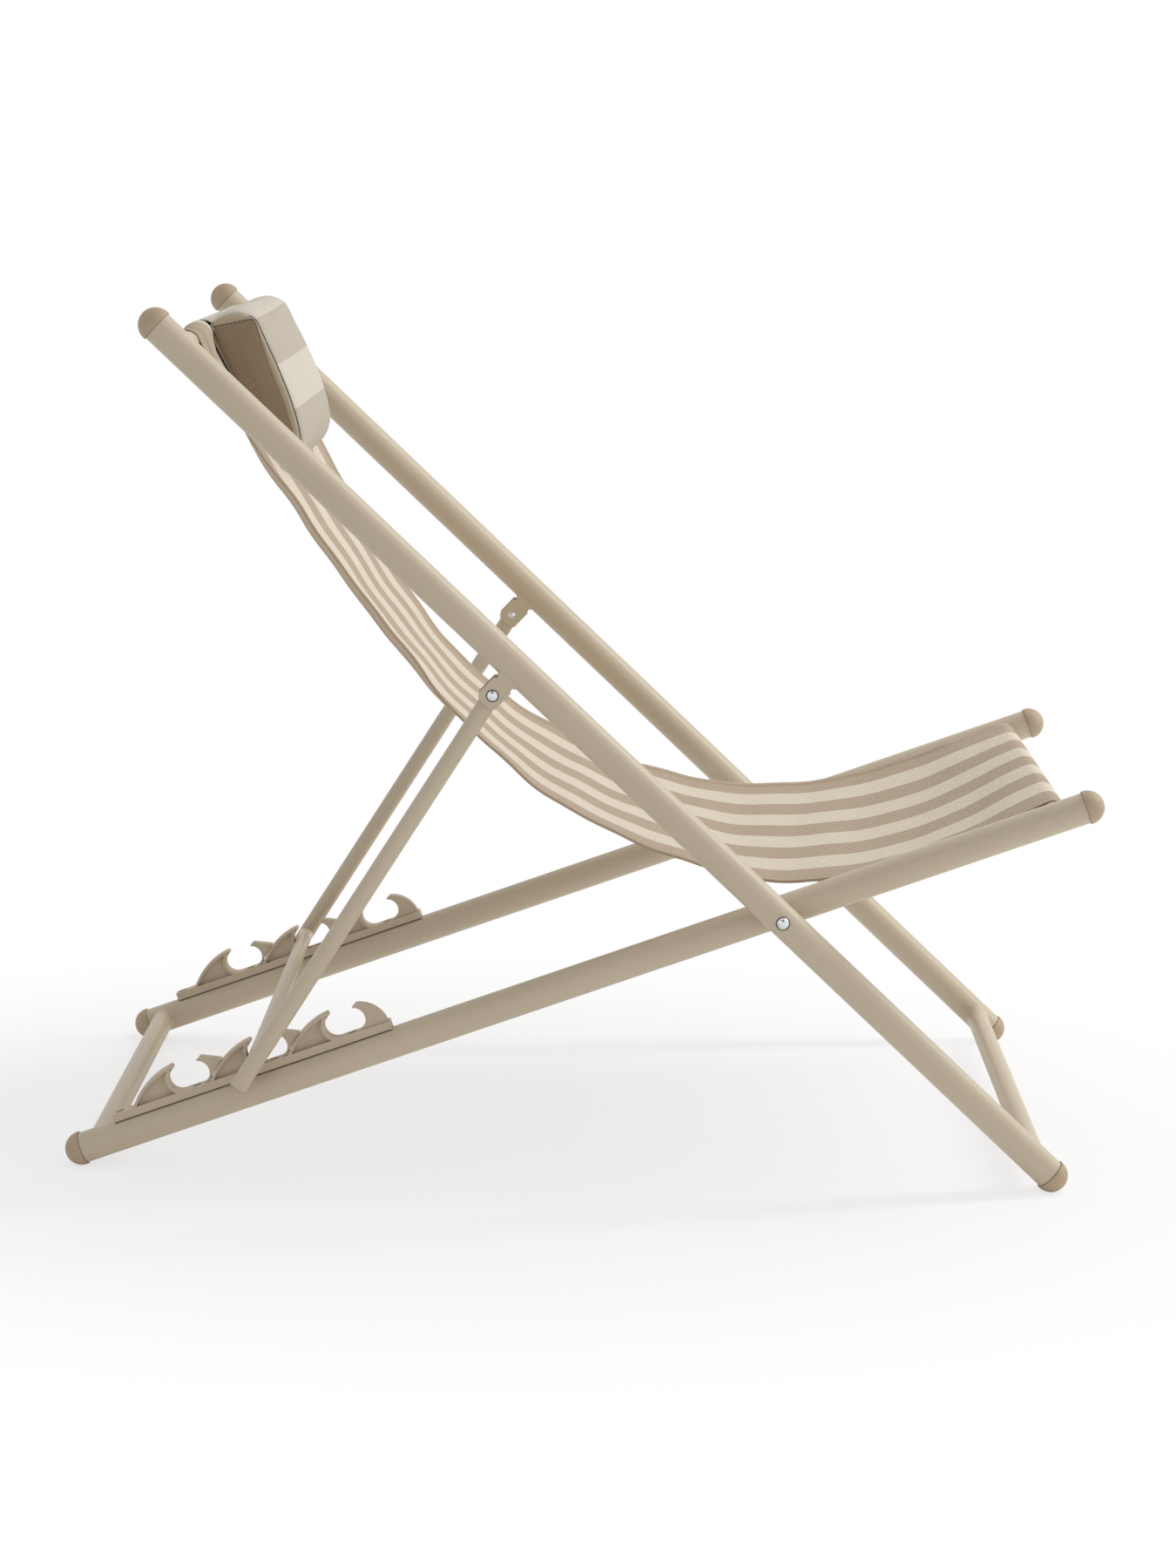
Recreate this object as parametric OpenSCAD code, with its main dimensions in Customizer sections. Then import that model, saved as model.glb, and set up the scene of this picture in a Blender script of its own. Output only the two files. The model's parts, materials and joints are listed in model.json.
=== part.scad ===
// Reclining sling lounger. Two crossed tube frames turn on a pair of bolts, a prop frame hangs
// from the back frame and drops its bar into moulded notch racks, and a fabric sling with a
// head pillow is slung between the head bar and the front bar.
// X points to the front (the seat end), Y to the sitter's left, Z up. The floor is z = 0.

/* [Frame tubes] */
// Outside diameter of the back tubes and the seat tubes
tube_d = 32; // [28:1:36]
// Wall thickness of the back tubes, the seat tubes and their cross bars
tube_wall = 1.5; // [1.2:0.1:2.5]
// Distance between the centre lines of the two back tubes
back_width = 565; // [500:5:640]
// Back tube from the pivot to its head end
back_head_len = 855; // [780:5:930]
// Back tube from the pivot to its foot end
back_foot_len = 383.5; // [360:5:420]
// Seat tube from the pivot to its front end
seat_front_len = 326; // [300:2:360]
// Seat tube from the pivot to its rear foot end
seat_rear_len = 762.5; // [740:2:820]
// Angle between the head half of the back and the rear half of the seat frame
open_angle = 63.3; // [56:0.1:70]

/* [Cross bars] */
// Outside diameter of the head, foot, front and rear bars
bar_d = 24; // [20:1:26]
// Centre of the head bar from the head end of the back tubes
head_bar_inset = 29; // [26:1:60]
// Centre of the foot bar from the foot end of the back tubes
foot_bar_inset = 22; // [16:1:60]
// Centre of the front bar from the front end of the seat tubes
front_bar_inset = 31; // [26:1:60]
// Centre of the rear bar from the rear end of the seat tubes
rear_bar_inset = 17; // [14:1:28]

/* [End caps] */
// Height by which a cap stands proud of its tube all round
cap_lip = 1.4; // [0.8:0.1:2.2]
// Straight rim of a cap between the tube end and its dome
cap_rim = 1.5; // [1:0.1:4]
// Length of a cap's plug inside the tube
cap_plug_len = 18; // [10:1:30]
// Height worn off each foot dome where it stands on the floor
foot_flat = 1; // [0.6:0.1:2.5]

/* [Pivot] */
// Diameter of the pivot bolt's shank
bolt_d = 8; // [6:0.5:10]
// Diameter of the pivot bolt's domed head
bolt_head_d = 13; // [12:0.5:16]
// Height of the pivot bolt's domed head
bolt_head_h = 4.4; // [3:0.1:6]
// Gap between a back tube and a seat tube, filled by the spacer
spacer_t = 6; // [5:0.5:10]
// Outside diameter of the spacer
spacer_d = 20; // [16:1:24]
// Outside diameter of the inner washer
washer_d = 16; // [14:1:20]
// Thickness of the inner washer
washer_t = 1.2; // [0.8:0.1:2]
// Width across the flats of the cap nut
nut_flats = 13; // [12:0.5:16]
// Height of the cap nut's hexagon
nut_h = 4.5; // [3:0.5:6]

/* [Prop frame] */
// Outside diameter of the prop tubes
prop_d = 18; // [16:1:20]
// Outside diameter of the prop bar that drops into the notches
prop_bar_d = 16; // [13:1:17]
// Wall thickness of the prop tubes and the prop bar
prop_wall = 1.2; // [1:0.1:2]
// Prop hinge from the pivot, along the back tube
prop_hinge_s = 369; // [330:1:400]
// Prop hinge below the centre line of the back tube
prop_hinge_drop = 35.5; // [34:0.5:44]
// Prop tube beyond the hinge, inside the bracket
prop_top_len = 9; // [8:0.5:10]
// Prop tube beyond the prop bar
prop_tail_len = 28; // [14:1:40]
// Diameter of the prop rivet's shank
rivet_d = 6; // [5:0.5:8]
// Diameter of the prop rivet's domed head
rivet_head_d = 11.4; // [9:0.2:13]
// Height of the prop rivet's domed head
rivet_head_h = 2.6; // [2:0.1:3.4]
// Thickness of an end plug's visible disc
prop_plug_t = 1.4; // [1:0.1:3]

/* [Prop brackets] */
// Thickness of the bracket's plate
bracket_t = 2.5; // [2:0.1:3]
// Width of the bracket along the back tube
bracket_w = 23; // [20:1:30]
// Bracket plate below the centre of the rivet
bracket_below = 12; // [9:0.5:15]
// Chamfer of the bracket's lower corners
bracket_chamfer = 4; // [2:0.5:6]
// Gap between the prop tube and each cheek of its bracket
cheek_gap = 0.4; // [0.3:0.1:1]

/* [Notch racks] */
// Number of notches in each rack
notch_count = 3; // [2:1:3]
// Distance from one notch to the next
notch_pitch = 85.5; // [80:0.5:90]
// Middle notch from the pivot, along the seat tube
notch_mid_u = 545; // [520:1:560]
// Length of a notch pocket along the rack
pocket_len = 43.5; // [40:0.5:48]
// Radius of a pocket's round ends
pocket_r = 12.8; // [11:0.1:13.4]
// Height of the rack's base strip
rack_base_h = 9; // [7:0.5:12]
// Width of the rack across the tube
rack_w = 14; // [12:1:20]
// Depth by which the rack's underside straddles the tube
rack_saddle = 0.8; // [0.5:0.1:2]
// Base strip in front of the centre of the front notch
rack_front_len = 44.3; // [42:0.1:50]
// Base strip behind the centre of the rear notch
rack_rear_len = 90.3; // [86:0.1:100]
// Thickness of a fin's curved outer flange
flange_t = 3; // [2:0.5:4]
// Thickness of the rib round a pocket
rib_t = 3.6; // [2:0.2:5]
// Thickness of the recessed web inside a fin
web_t = 3; // [2:0.5:5]
// Thickness of the flat hook plates
hook_t = 9; // [6:0.5:11]
// Diameter of a rack screw's shank
screw_d = 3.5; // [3:0.1:4]
// Diameter of a rack screw's head
screw_head_d = 6; // [5:0.1:7]

/* [Sling] */
// Width of the sling
sling_w = 442; // [380:2:450]
// Thickness of the sling fabric
sling_t = 1.3; // [0.8:0.1:1.6]
// How much steeper than the back tubes the sling leaves the head bar
sling_lean = 21.2; // [18:0.2:24]
// Clearance between the fabric and what it lies on
fabric_gap = 0.3; // [0.3:0.1:0.6]

/* [Pillow] */
// Width of the pillow across the chair
pillow_w = 300; // [240:5:400]
// Height of the pillow along the sling
pillow_h = 161; // [130:1:200]
// Thickness of the pillow at its top edge
pillow_t_top = 47; // [36:1:60]
// Thickness of the pillow at its lower edge
pillow_t_low = 33; // [30:1:46]
// Rounding of the pillow's front edges
pillow_r = 13; // [8:1:15]
// Side edge of the strap in from the pillow's side, left and right
strap_inset = 2; // [0:0.5:12]
// Thickness of the strap
strap_t = 1.6; // [1:0.1:2]
// Strap below the head bar, behind the sling
strap_tail = 100; // [60:5:140]

/* [Hidden] */

$fn = 96;
left = 1;
right = -1;
frame_color = [0.73, 0.68, 0.60];
plastic_color = [0.76, 0.69, 0.60];
zinc_color = [0.80, 0.81, 0.82];
taupe_color = [0.73, 0.66, 0.57];

// Running clearance of a shaft in a moving tube, and the gap that keeps moving faces apart
running_fit = 0.05;
move_gap = 0.3;
// Clearance of a plug in its tube
plug_fit = 0.1;

tube_r = tube_d / 2;
bar_r = bar_d / 2;
prop_r = prop_d / 2;
prop_bar_r = prop_bar_d / 2;
cap_r = tube_r + cap_lip;

// Lines across the chair: the seat tubes stand inside the back tubes
back_y = back_width / 2;
seat_y = back_y - tube_d - spacer_t;

// Pivot to the dome centre of each end, along its tube
back_foot_dome = back_foot_len + cap_rim;
back_head_dome = back_head_len + cap_rim;
seat_rear_dome = seat_rear_len + cap_rim;
seat_front_dome = seat_front_len + cap_rim;

// Slopes of the two frames when all four feet stand on the floor
seat_slope = atan2(back_foot_dome * sin(open_angle), seat_rear_dome + back_foot_dome * cos(open_angle));
back_slope = open_angle - seat_slope;

// The pivot, with the whole lounger centred over the origin
reach_front = max(seat_front_dome * cos(seat_slope), back_foot_dome * cos(back_slope)) + cap_r;
reach_rear = max(seat_rear_dome * cos(seat_slope), back_head_dome * cos(back_slope)) + cap_r;
pivot_x = (reach_rear - reach_front) / 2;
pivot_z = cap_r - foot_flat + back_foot_dome * sin(back_slope);

// A point in the side plane, [x, z], from its place along and above each frame.
// Along the back counts towards the head, along the seat counts towards the rear.
function on_back(along, above) = [
    pivot_x - along * cos(back_slope) + above * sin(back_slope),
    pivot_z + along * sin(back_slope) + above * cos(back_slope)
];
function on_seat(along, above) = [
    pivot_x - along * cos(seat_slope) - above * sin(seat_slope),
    pivot_z - along * sin(seat_slope) + above * cos(seat_slope)
];

// Notch racks: heights above the seat tube's centre line, offsets from a pocket's centre
rack_bottom = tube_r - rack_saddle;
rack_top = rack_bottom + rack_base_h;
pocket_end = pocket_len / 2 - pocket_r;
pocket_v = rack_top + pocket_r;
fin_r = 76.8;
fin_lead = 6.4;
fin_drop = 47.5;
fin_center = [fin_lead, rack_top - fin_drop];
fin_tip_angle = 84.5;
fin_foot_angle = asin((rack_top - fin_center[1]) / fin_r);
rib_tip_angle = 62;
hook_nose = 12;
hook_r = 32.2;
hook_top = 28.4;
screw_u = -3.3;
slot_len = 10;
slot_w = 6.6;
slot_depth = 3.5;
screw_head_h = 1.6;

// The prop bar lies low at the rear of the middle pocket
load_angle = 38;
seat_gap = pocket_r - prop_bar_r - move_gap;
bar_u = notch_mid_u + pocket_end + seat_gap * cos(load_angle);
bar_v = pocket_v - seat_gap * sin(load_angle);
prop_top = on_back(prop_hinge_s, -prop_hinge_drop);
prop_foot = on_seat(bar_u, bar_v);
prop_run = norm(prop_foot - prop_top);
prop_turn = atan2(prop_foot[0] - prop_top[0], prop_foot[1] - prop_top[1]);

// Sling: a tunnel, a straight run, four tangent arcs, a straight run and a tunnel.
// Angles are degrees below the horizontal, looking from the head to the front.
sleeve_r = bar_r + fabric_gap + sling_t;
sling_mid_r = sleeve_r - sling_t / 2;
head_center = on_back(back_head_len - head_bar_inset, 0);
front_center = on_seat(-(seat_front_len - front_bar_inset), 0);
sling_span = norm(front_center - head_center);
sling_start_angle = back_slope + sling_lean;
sling_angles = [sling_start_angle, 52, 36, 14, -seat_slope];
sling_radii = [1.72, 0.55, 0.58, 0.31] * sling_span;
function run_dir(angle) = [cos(angle), -sin(angle)];
function run_normal(angle) = [sin(angle), cos(angle)];
function arc_step(radius, from, to) = radius * (run_normal(from) - run_normal(to));
sling_start = head_center + sling_mid_r * run_normal(sling_start_angle);
sling_end = front_center + sling_mid_r * run_normal(-seat_slope);
arc_count = len(sling_radii);
function arcs_sum(i = 0) = i == arc_count ? [0, 0]
    : arc_step(sling_radii[i], sling_angles[i], sling_angles[i + 1]) + arcs_sum(i + 1);
// The two straight runs close the path: solve first * a + last * b = rest
sling_rest = sling_end - sling_start - arcs_sum();
first_dir = run_dir(sling_start_angle);
last_dir = run_dir(-seat_slope);
run_det = first_dir[0] * last_dir[1] - first_dir[1] * last_dir[0];
first_run = (sling_rest[0] * last_dir[1] - sling_rest[1] * last_dir[0]) / run_det;
arc_steps = 14;
function arc_from(i) = sling_start + first_run * first_dir
    + (i == 0 ? [0, 0] : arcs_sum() - arcs_sum(i));
// The tunnels run round the bars and end just short of the sling's back
tunnel_turn = 360 - acos((sleeve_r - sling_t - fabric_gap) / sleeve_r);
tunnel_steps = 32;
function tunnel_path(center, from) = [for (k = [0 : tunnel_steps])
    let (angle = from + tunnel_turn * k / tunnel_steps) [center + sling_mid_r * run_normal(angle), angle]];
// Every path point with the angle of the sling there: [point, angle]
sling_path = concat(
    tunnel_path(head_center, sling_start_angle - tunnel_turn),
    [for (i = [0 : arc_count - 1]) for (k = [0 : arc_steps - 1])
        let (from = sling_angles[i], to = from + (sling_angles[i + 1] - from) * k / arc_steps)
        [arc_from(i) + arc_step(sling_radii[i], from, to), to]],
    [[arc_from(arc_count), -seat_slope]],
    tunnel_path(front_center, -seat_slope)
);
function offset_path(d) = [for (p = sling_path) p[0] + d * run_normal(p[1])];
function backwards(list) = [for (i = [len(list) - 1 : -1 : 0]) list[i]];

// A place on the sling's first arc, from its distance down the sling
function sling_point(distance) = sling_start + first_run * first_dir + arc_step(
    sling_radii[0], sling_start_angle,
    sling_start_angle - (distance - first_run) / sling_radii[0] * 180 / PI
);

// Pillow: its own axes start where the sling leaves the head bar and follow the sling
pillow_leg = sling_point(pillow_h) - sling_start;
pillow_angle = atan2(-pillow_leg[1], pillow_leg[0]);
pillow_bend = sling_start_angle - pillow_angle;
pillow_back = sling_t / 2 + fabric_gap;
pillow_rise = 5;
strap_w = pillow_w - 2 * strap_inset;
strap_in = sleeve_r + fabric_gap;
strap_out = strap_in + strap_t;

function circle_point(center, radius, angle) = center + radius * [cos(angle), sin(angle)];
function arc_points(center, radius, from, to, steps) =
    [for (k = [0 : steps]) circle_point(center, radius, from + (to - from) * k / steps)];

// ---- Places ----

// z runs to the head along the back tubes, x above them
module back_space(side = 0) {
    translate([pivot_x, side * back_y, pivot_z]) rotate([0, back_slope - 90, 0]) children();
}

// z runs to the rear along the seat tubes, x above them
module seat_space(side = 0) {
    translate([pivot_x, side * seat_y, pivot_z]) rotate([0, -90 - seat_slope, 0]) children();
}

// z runs down the prop frame from its hinge
module prop_space(side = 0) {
    translate([prop_top[0], side * back_y, prop_top[1]]) rotate([0, prop_turn, 0]) children();
}

// A flat outline in the side plane of the current space, [x, z], given its width in y
module side_plate(width, outline) {
    rotate([90, 0, 0]) linear_extrude(width, center = true) polygon(outline);
}

module across(radius, length) {
    rotate([90, 0, 0]) cylinder(r = radius, h = length, center = true);
}

// ---- Parts used more than once ----

module round_tube(radius, wall, from, to) {
    translate([0, 0, from]) difference() {
        cylinder(r = radius, h = to - from);
        translate([0, 0, -1]) cylinder(r = radius - wall, h = to - from + 2);
    }
}

// A bar between two tubes that stand half_y from the middle, with its ends fitted round them
module fitted_bar(radius, wall, half_y, post_r) {
    difference() {
        across(radius, 2 * half_y);
        across(radius - wall, 2 * half_y + 2);
        for (s = [-1, 1]) translate([0, s * half_y, 0])
            cylinder(r = post_r, h = 4 * radius, center = true);
    }
}

// A domed cap on a tube whose end is at the origin and faces z
module end_cap() {
    translate([0, 0, -cap_plug_len])
        cylinder(r = tube_r - tube_wall - plug_fit, h = cap_plug_len + 0.5 * cap_rim);
    cylinder(r = cap_r, h = cap_rim);
    translate([0, 0, cap_rim]) intersection() {
        sphere(r = cap_r);
        translate([-cap_r, -cap_r, -0.5 * cap_rim]) cube([2 * cap_r, 2 * cap_r, 2 * cap_r]);
    }
}

// A domed button head whose flat side is at the origin and faces -z
module dome_head(diameter, height) {
    sphere_r = (diameter * diameter / 4 + height * height) / (2 * height);
    intersection() {
        cylinder(d = diameter, h = height);
        translate([0, 0, height - sphere_r]) sphere(r = sphere_r);
    }
}

module above_floor() {
    difference() {
        children();
        translate([-2000, -1000, -100]) cube([4000, 2000, 100]);
    }
}

// ---- Seat frame ----

module seat_tube(side) {
    color(frame_color) seat_space(side) difference() {
        round_tube(tube_r, tube_wall, -seat_front_len, seat_rear_len);
        across(bolt_d / 2 + running_fit, 2 * tube_d);
        for (k = [0 : notch_count]) translate([0, 0, screw_place(k)])
            rotate([0, 90, 0]) cylinder(d = screw_d, h = tube_d);
    }
}

module front_bar() {
    color(frame_color) seat_space() translate([0, 0, front_bar_inset - seat_front_len])
        fitted_bar(bar_r, tube_wall, seat_y, tube_r);
}

module rear_bar() {
    color(frame_color) seat_space() translate([0, 0, seat_rear_len - rear_bar_inset])
        fitted_bar(bar_r, tube_wall, seat_y, tube_r);
}

module cap_front(side) {
    color(plastic_color) seat_space(side) translate([0, 0, -seat_front_len])
        rotate([180, 0, 0]) end_cap();
}

module foot_rear(side) {
    color(plastic_color) above_floor() seat_space(side) translate([0, 0, seat_rear_len]) end_cap();
}

// ---- Notch racks ----

function notch_place(k) = notch_mid_u + (k - 1) * notch_pitch;
function screw_place(k) = notch_place(k) + screw_u;

// Curved outer flange of a fin
function flange_outline() = concat(
    arc_points([0, 0], fin_r, fin_foot_angle - 1.5, fin_tip_angle, 14),
    arc_points([0, 0], fin_r - flange_t, fin_tip_angle + 1, fin_foot_angle - 2.5, 14)
);

// Rib that wraps the rear end of a pocket and runs up to the flange's tip
function rib_outline() = concat(
    arc_points([0, 0], pocket_r, -90, rib_tip_angle, 18),
    arc_points([0, 0], pocket_r + rib_t, rib_tip_angle - 8, -90, 18)
);

// Outlines are [along, above]; the seat space wants [above, along]
function swapped(outline, center) = [for (p = outline) [p[1] + center[1], p[0] + center[0]]];

module fin(u) {
    side_plate(rack_w, swapped(flange_outline(), [u + fin_center[0], fin_center[1]]));
    side_plate(rack_w, swapped(rib_outline(), [u + pocket_end, pocket_v]));
    difference() {
        translate([fin_center[1], 0, u + fin_center[0]]) intersection() {
            across(fin_r - flange_t / 2, web_t);
            translate([rack_top - fin_center[1] - 1, -rack_w, pocket_end])
                cube([fin_r, 2 * rack_w, fin_r]);
        }
        translate([pocket_v, 0, u + pocket_end]) across(pocket_r + rib_t / 2, rack_w);
        translate([rack_top, -rack_w, u]) cube([fin_r, 2 * rack_w, pocket_end + pocket_r * 0.4]);
    }
}

// Hook over the front of a pocket; the last one is free-standing and rounded
module hook(u, free_end) {
    foot_u = free_end ? -rack_front_len + 1.5 : -notch_pitch + fin_center[0] + fin_r * cos(fin_foot_angle) - 2;
    crest = [-17.5, rack_top + hook_top];
    nose = [-hook_nose, rack_top + hook_top - 3.2];
    hook_center = [-10.2, crest[1] - 31.4];
    outer = free_end
        ? arc_points(hook_center, hook_r, 103, 172, 12)
        : [crest, [-38, rack_top + 18.6], [foot_u, rack_top + 4]];
    outline = concat([[-pocket_end, rack_top - 1], [-pocket_end, nose[1]], nose], outer,
        [[foot_u, rack_top - 1]]);
    difference() {
        side_plate(hook_t, swapped(outline, [u, 0]));
        translate([pocket_v, 0, u - pocket_end]) across(pocket_r, 2 * hook_t);
        translate([rack_top, -hook_t, u - hook_nose]) cube([2 * pocket_r, 2 * hook_t, 2 * hook_nose]);
    }
}

module rack(side) {
    color(plastic_color) seat_space(side) difference() {
        union() {
            translate([rack_bottom, -rack_w / 2, notch_place(0) - rack_front_len])
                cube([rack_base_h, rack_w, (notch_count - 1) * notch_pitch + rack_front_len + rack_rear_len]);
            for (k = [0 : notch_count - 1]) {
                fin(notch_place(k));
                hook(notch_place(k), k == 0);
            }
        }
        cylinder(r = tube_r, h = 2 * seat_rear_len);
        for (k = [0 : notch_count]) translate([0, 0, screw_place(k)]) {
            rotate([0, 90, 0]) cylinder(d = screw_d, h = 2 * tube_d);
            translate([rack_top - slot_depth, 0, 0]) screw_slot();
        }
    }
}

// Round-ended slot that lets the screw's head down into the base
module screw_slot() {
    straight = slot_len - slot_w;
    translate([0, -slot_w / 2, -straight / 2]) cube([2 * slot_depth, slot_w, straight]);
    for (s = [-1, 1]) translate([0, 0, s * straight / 2])
        rotate([0, 90, 0]) cylinder(d = slot_w, h = 2 * slot_depth);
}

module rack_screws(side) {
    color(zinc_color) seat_space(side) for (k = [0 : notch_count])
        translate([rack_top - slot_depth, 0, screw_place(k)]) rotate([0, 90, 0]) {
            dome_head(screw_head_d, screw_head_h);
            translate([0, 0, rack_saddle - rack_base_h - tube_wall])
                cylinder(d = screw_d, h = rack_base_h - rack_saddle + tube_wall + 0.5);
        }
}

// ---- Back frame ----

module back_tube(side) {
    color(frame_color) back_space(side) difference() {
        round_tube(tube_r, tube_wall, -back_foot_len, back_head_len);
        across(bolt_d / 2, 2 * tube_d);
    }
}

module head_bar() {
    color(frame_color) back_space() translate([0, 0, back_head_len - head_bar_inset])
        fitted_bar(bar_r, tube_wall, back_y, tube_r);
}

module foot_bar() {
    color(frame_color) back_space() translate([0, 0, foot_bar_inset - back_foot_len])
        fitted_bar(bar_r, tube_wall, back_y, tube_r);
}

module cap_head(side) {
    color(plastic_color) back_space(side) translate([0, 0, back_head_len]) end_cap();
}

module foot_front(side) {
    color(plastic_color) above_floor() back_space(side) translate([0, 0, -back_foot_len])
        rotate([180, 0, 0]) end_cap();
}

// U bracket welded under the back tube: two cheeks and the saddle between them
module bracket(side) {
    cheek_y = prop_r + cheek_gap + bracket_t / 2;
    half = bracket_w / 2;
    low = -prop_hinge_drop - bracket_below;
    outline = [
        [-tube_r / 2, -half], [-tube_r / 2, half], [low + bracket_chamfer, half],
        [low, half - bracket_chamfer], [low, bracket_chamfer - half], [low + bracket_chamfer, -half]
    ];
    relief_r = bracket_t;
    color(frame_color) back_space(side) translate([0, 0, prop_hinge_s]) difference() {
        union() {
            for (s = [-1, 1]) translate([0, s * cheek_y, 0]) side_plate(bracket_t, outline);
            translate([-tube_r - bracket_t, -cheek_y, -half]) cube([tube_r, 2 * cheek_y, bracket_w]);
        }
        cylinder(r = tube_r, h = 2 * bracket_w, center = true);
        for (s = [-1, 1]) translate([-tube_r - relief_r, 0, s * half]) across(relief_r, 2 * tube_d);
        translate([-prop_hinge_drop, 0, 0]) across(rivet_d / 2, 2 * tube_d);
    }
}

module prop_rivet(side) {
    cheek_out = prop_r + cheek_gap + bracket_t;
    color(zinc_color) prop_space(side) {
        across(rivet_d / 2, 2 * cheek_out + 1);
        rotate([-side * 90, 0, 0]) translate([0, 0, cheek_out]) dome_head(rivet_head_d, rivet_head_h);
        rotate([side * 90, 0, 0]) translate([0, 0, cheek_out]) dome_head(rivet_head_d - 2, rivet_head_h);
    }
}

// The pivot's pieces lie along a line that runs outwards from the seat tube's centre
module pivot_line(side) {
    translate([pivot_x, side * seat_y, pivot_z]) rotate([-side * 90, 0, 0]) children();
}
washer_from = -tube_r - move_gap - washer_t;
nut_from = washer_from - nut_h;
bolt_to = tube_d + spacer_t + tube_r;

module pivot_bolt(side) {
    color(zinc_color) pivot_line(side) {
        translate([0, 0, nut_from + 0.5]) cylinder(d = bolt_d, h = bolt_to - nut_from);
        translate([0, 0, bolt_to]) dome_head(bolt_head_d, bolt_head_h);
    }
}

// Spacer with a flat side to the seat tube and a saddle that fits the back tube
module pivot_spacer(side) {
    saddle_lip = 2.5;
    color(plastic_color) difference() {
        pivot_line(side) translate([0, 0, tube_r + move_gap]) difference() {
            cylinder(d = spacer_d, h = spacer_t - move_gap + saddle_lip);
            translate([0, 0, -1]) cylinder(d = bolt_d, h = 2 * tube_d);
        }
        back_space(side) cylinder(r = tube_r, h = 2 * tube_d, center = true);
    }
}

module pivot_washer(side) {
    color(zinc_color) pivot_line(side) translate([0, 0, washer_from]) difference() {
        cylinder(d = washer_d, h = washer_t);
        translate([0, 0, -1]) cylinder(d = bolt_d, h = washer_t + 2);
    }
}

// Hexagon cap nut with a domed end
module pivot_nut(side) {
    hex_r = nut_flats / 2 / cos(30);
    dome_h = 2.4;
    color(zinc_color) pivot_line(side) difference() {
        union() {
            translate([0, 0, nut_from]) cylinder(r = hex_r, h = nut_h, $fn = 6);
            translate([0, 0, nut_from]) rotate([180, 0, 0]) dome_head(nut_flats - 1.5, dome_h);
        }
        translate([0, 0, nut_from + 0.5]) cylinder(d = bolt_d, h = tube_d);
    }
}

// ---- Prop frame ----

module prop_tube(side) {
    color(frame_color) prop_space(side) difference() {
        round_tube(prop_r, prop_wall, -prop_top_len, prop_run + prop_tail_len);
        across(rivet_d / 2 + running_fit, 2 * prop_d);
    }
}

module prop_bar() {
    color(frame_color) prop_space() translate([0, 0, prop_run])
        fitted_bar(prop_bar_r, prop_wall, back_y, prop_r);
}

module prop_plug(side) {
    plug_len = 12;
    color(plastic_color) prop_space(side) translate([0, 0, prop_run + prop_tail_len]) {
        cylinder(r = prop_r, h = prop_plug_t);
        translate([0, 0, -plug_len])
            cylinder(r = prop_r - prop_wall - plug_fit, h = plug_len + prop_plug_t / 2);
    }
}

// ---- Soft parts ----

// The fabric from the end of the head tunnel to the end of the front tunnel
module sling() {
    color(taupe_color)
        side_plate(sling_w, concat(offset_path(sling_t / 2), backwards(offset_path(-sling_t / 2))));
}

// x runs down the sling from the head bar, z stands out to the sitter
module pillow_space() {
    translate([sling_start[0], 0, sling_start[1]]) rotate([0, pillow_angle, 0]) children();
}

// The pillow's side outline, rounded at its four corners: [down, out]
module pillow() {
    back_r = 3;
    low_r = pillow_r;
    taper = atan2(pillow_t_top - pillow_t_low, pillow_h);
    top = -pillow_rise;
    low = pillow_h - pillow_rise;
    front_top = [top + pillow_r, pillow_back + pillow_t_top - pillow_r];
    front_low = [low - low_r, pillow_back + pillow_t_low - low_r];
    color(taupe_color) pillow_space() side_plate(pillow_w, concat(
        arc_points([top + back_r, pillow_back + back_r], back_r, 270, 180, 3),
        arc_points(front_top, pillow_r, 180, 90 - taper, 8),
        arc_points(front_low, low_r, 90 - taper, 0, 8),
        arc_points([low - back_r, pillow_back + back_r], back_r, 0, -90, 3)
    ));
}

// Strap from the pillow's top edge over the head bar and down behind the sling
module pillow_strap() {
    // Wrap points are [out, up] from the bar; the pillow's axes are [down, out]
    head = -sling_mid_r * [sin(pillow_bend), cos(pillow_bend)];
    function place(p) = [head[0] - p[1], head[1] + p[0]];
    // The tail runs from the strap's wrap to the back of the sling
    tail_bow = (sling_point(strap_tail) - sling_start) * run_normal(pillow_angle);
    tail_reach = -head[1] + tail_bow - sling_t / 2 - fabric_gap;
    tail_swing = atan2(strap_in, strap_tail) + asin(tail_reach / norm([strap_in, strap_tail]));
    start_angle = asin((pillow_rise + fabric_gap + head[0]) / strap_out);
    end_angle = 180 + tail_swing;
    wrap = concat(
        arc_points([0, 0], strap_out, start_angle, end_angle, 24),
        arc_points([0, 0], strap_in, end_angle, start_angle, 24)
    );
    tail_dir = strap_tail * [sin(tail_swing), -cos(tail_swing)];
    in_point = circle_point([0, 0], strap_in, end_angle);
    out_point = circle_point([0, 0], strap_out, end_angle);
    color(taupe_color) pillow_space() {
        side_plate(strap_w, [for (p = wrap) place(p)]);
        side_plate(strap_w, [for (p = [in_point, out_point, out_point + tail_dir, in_point + tail_dir])
            place(p)]);
    }
}

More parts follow.
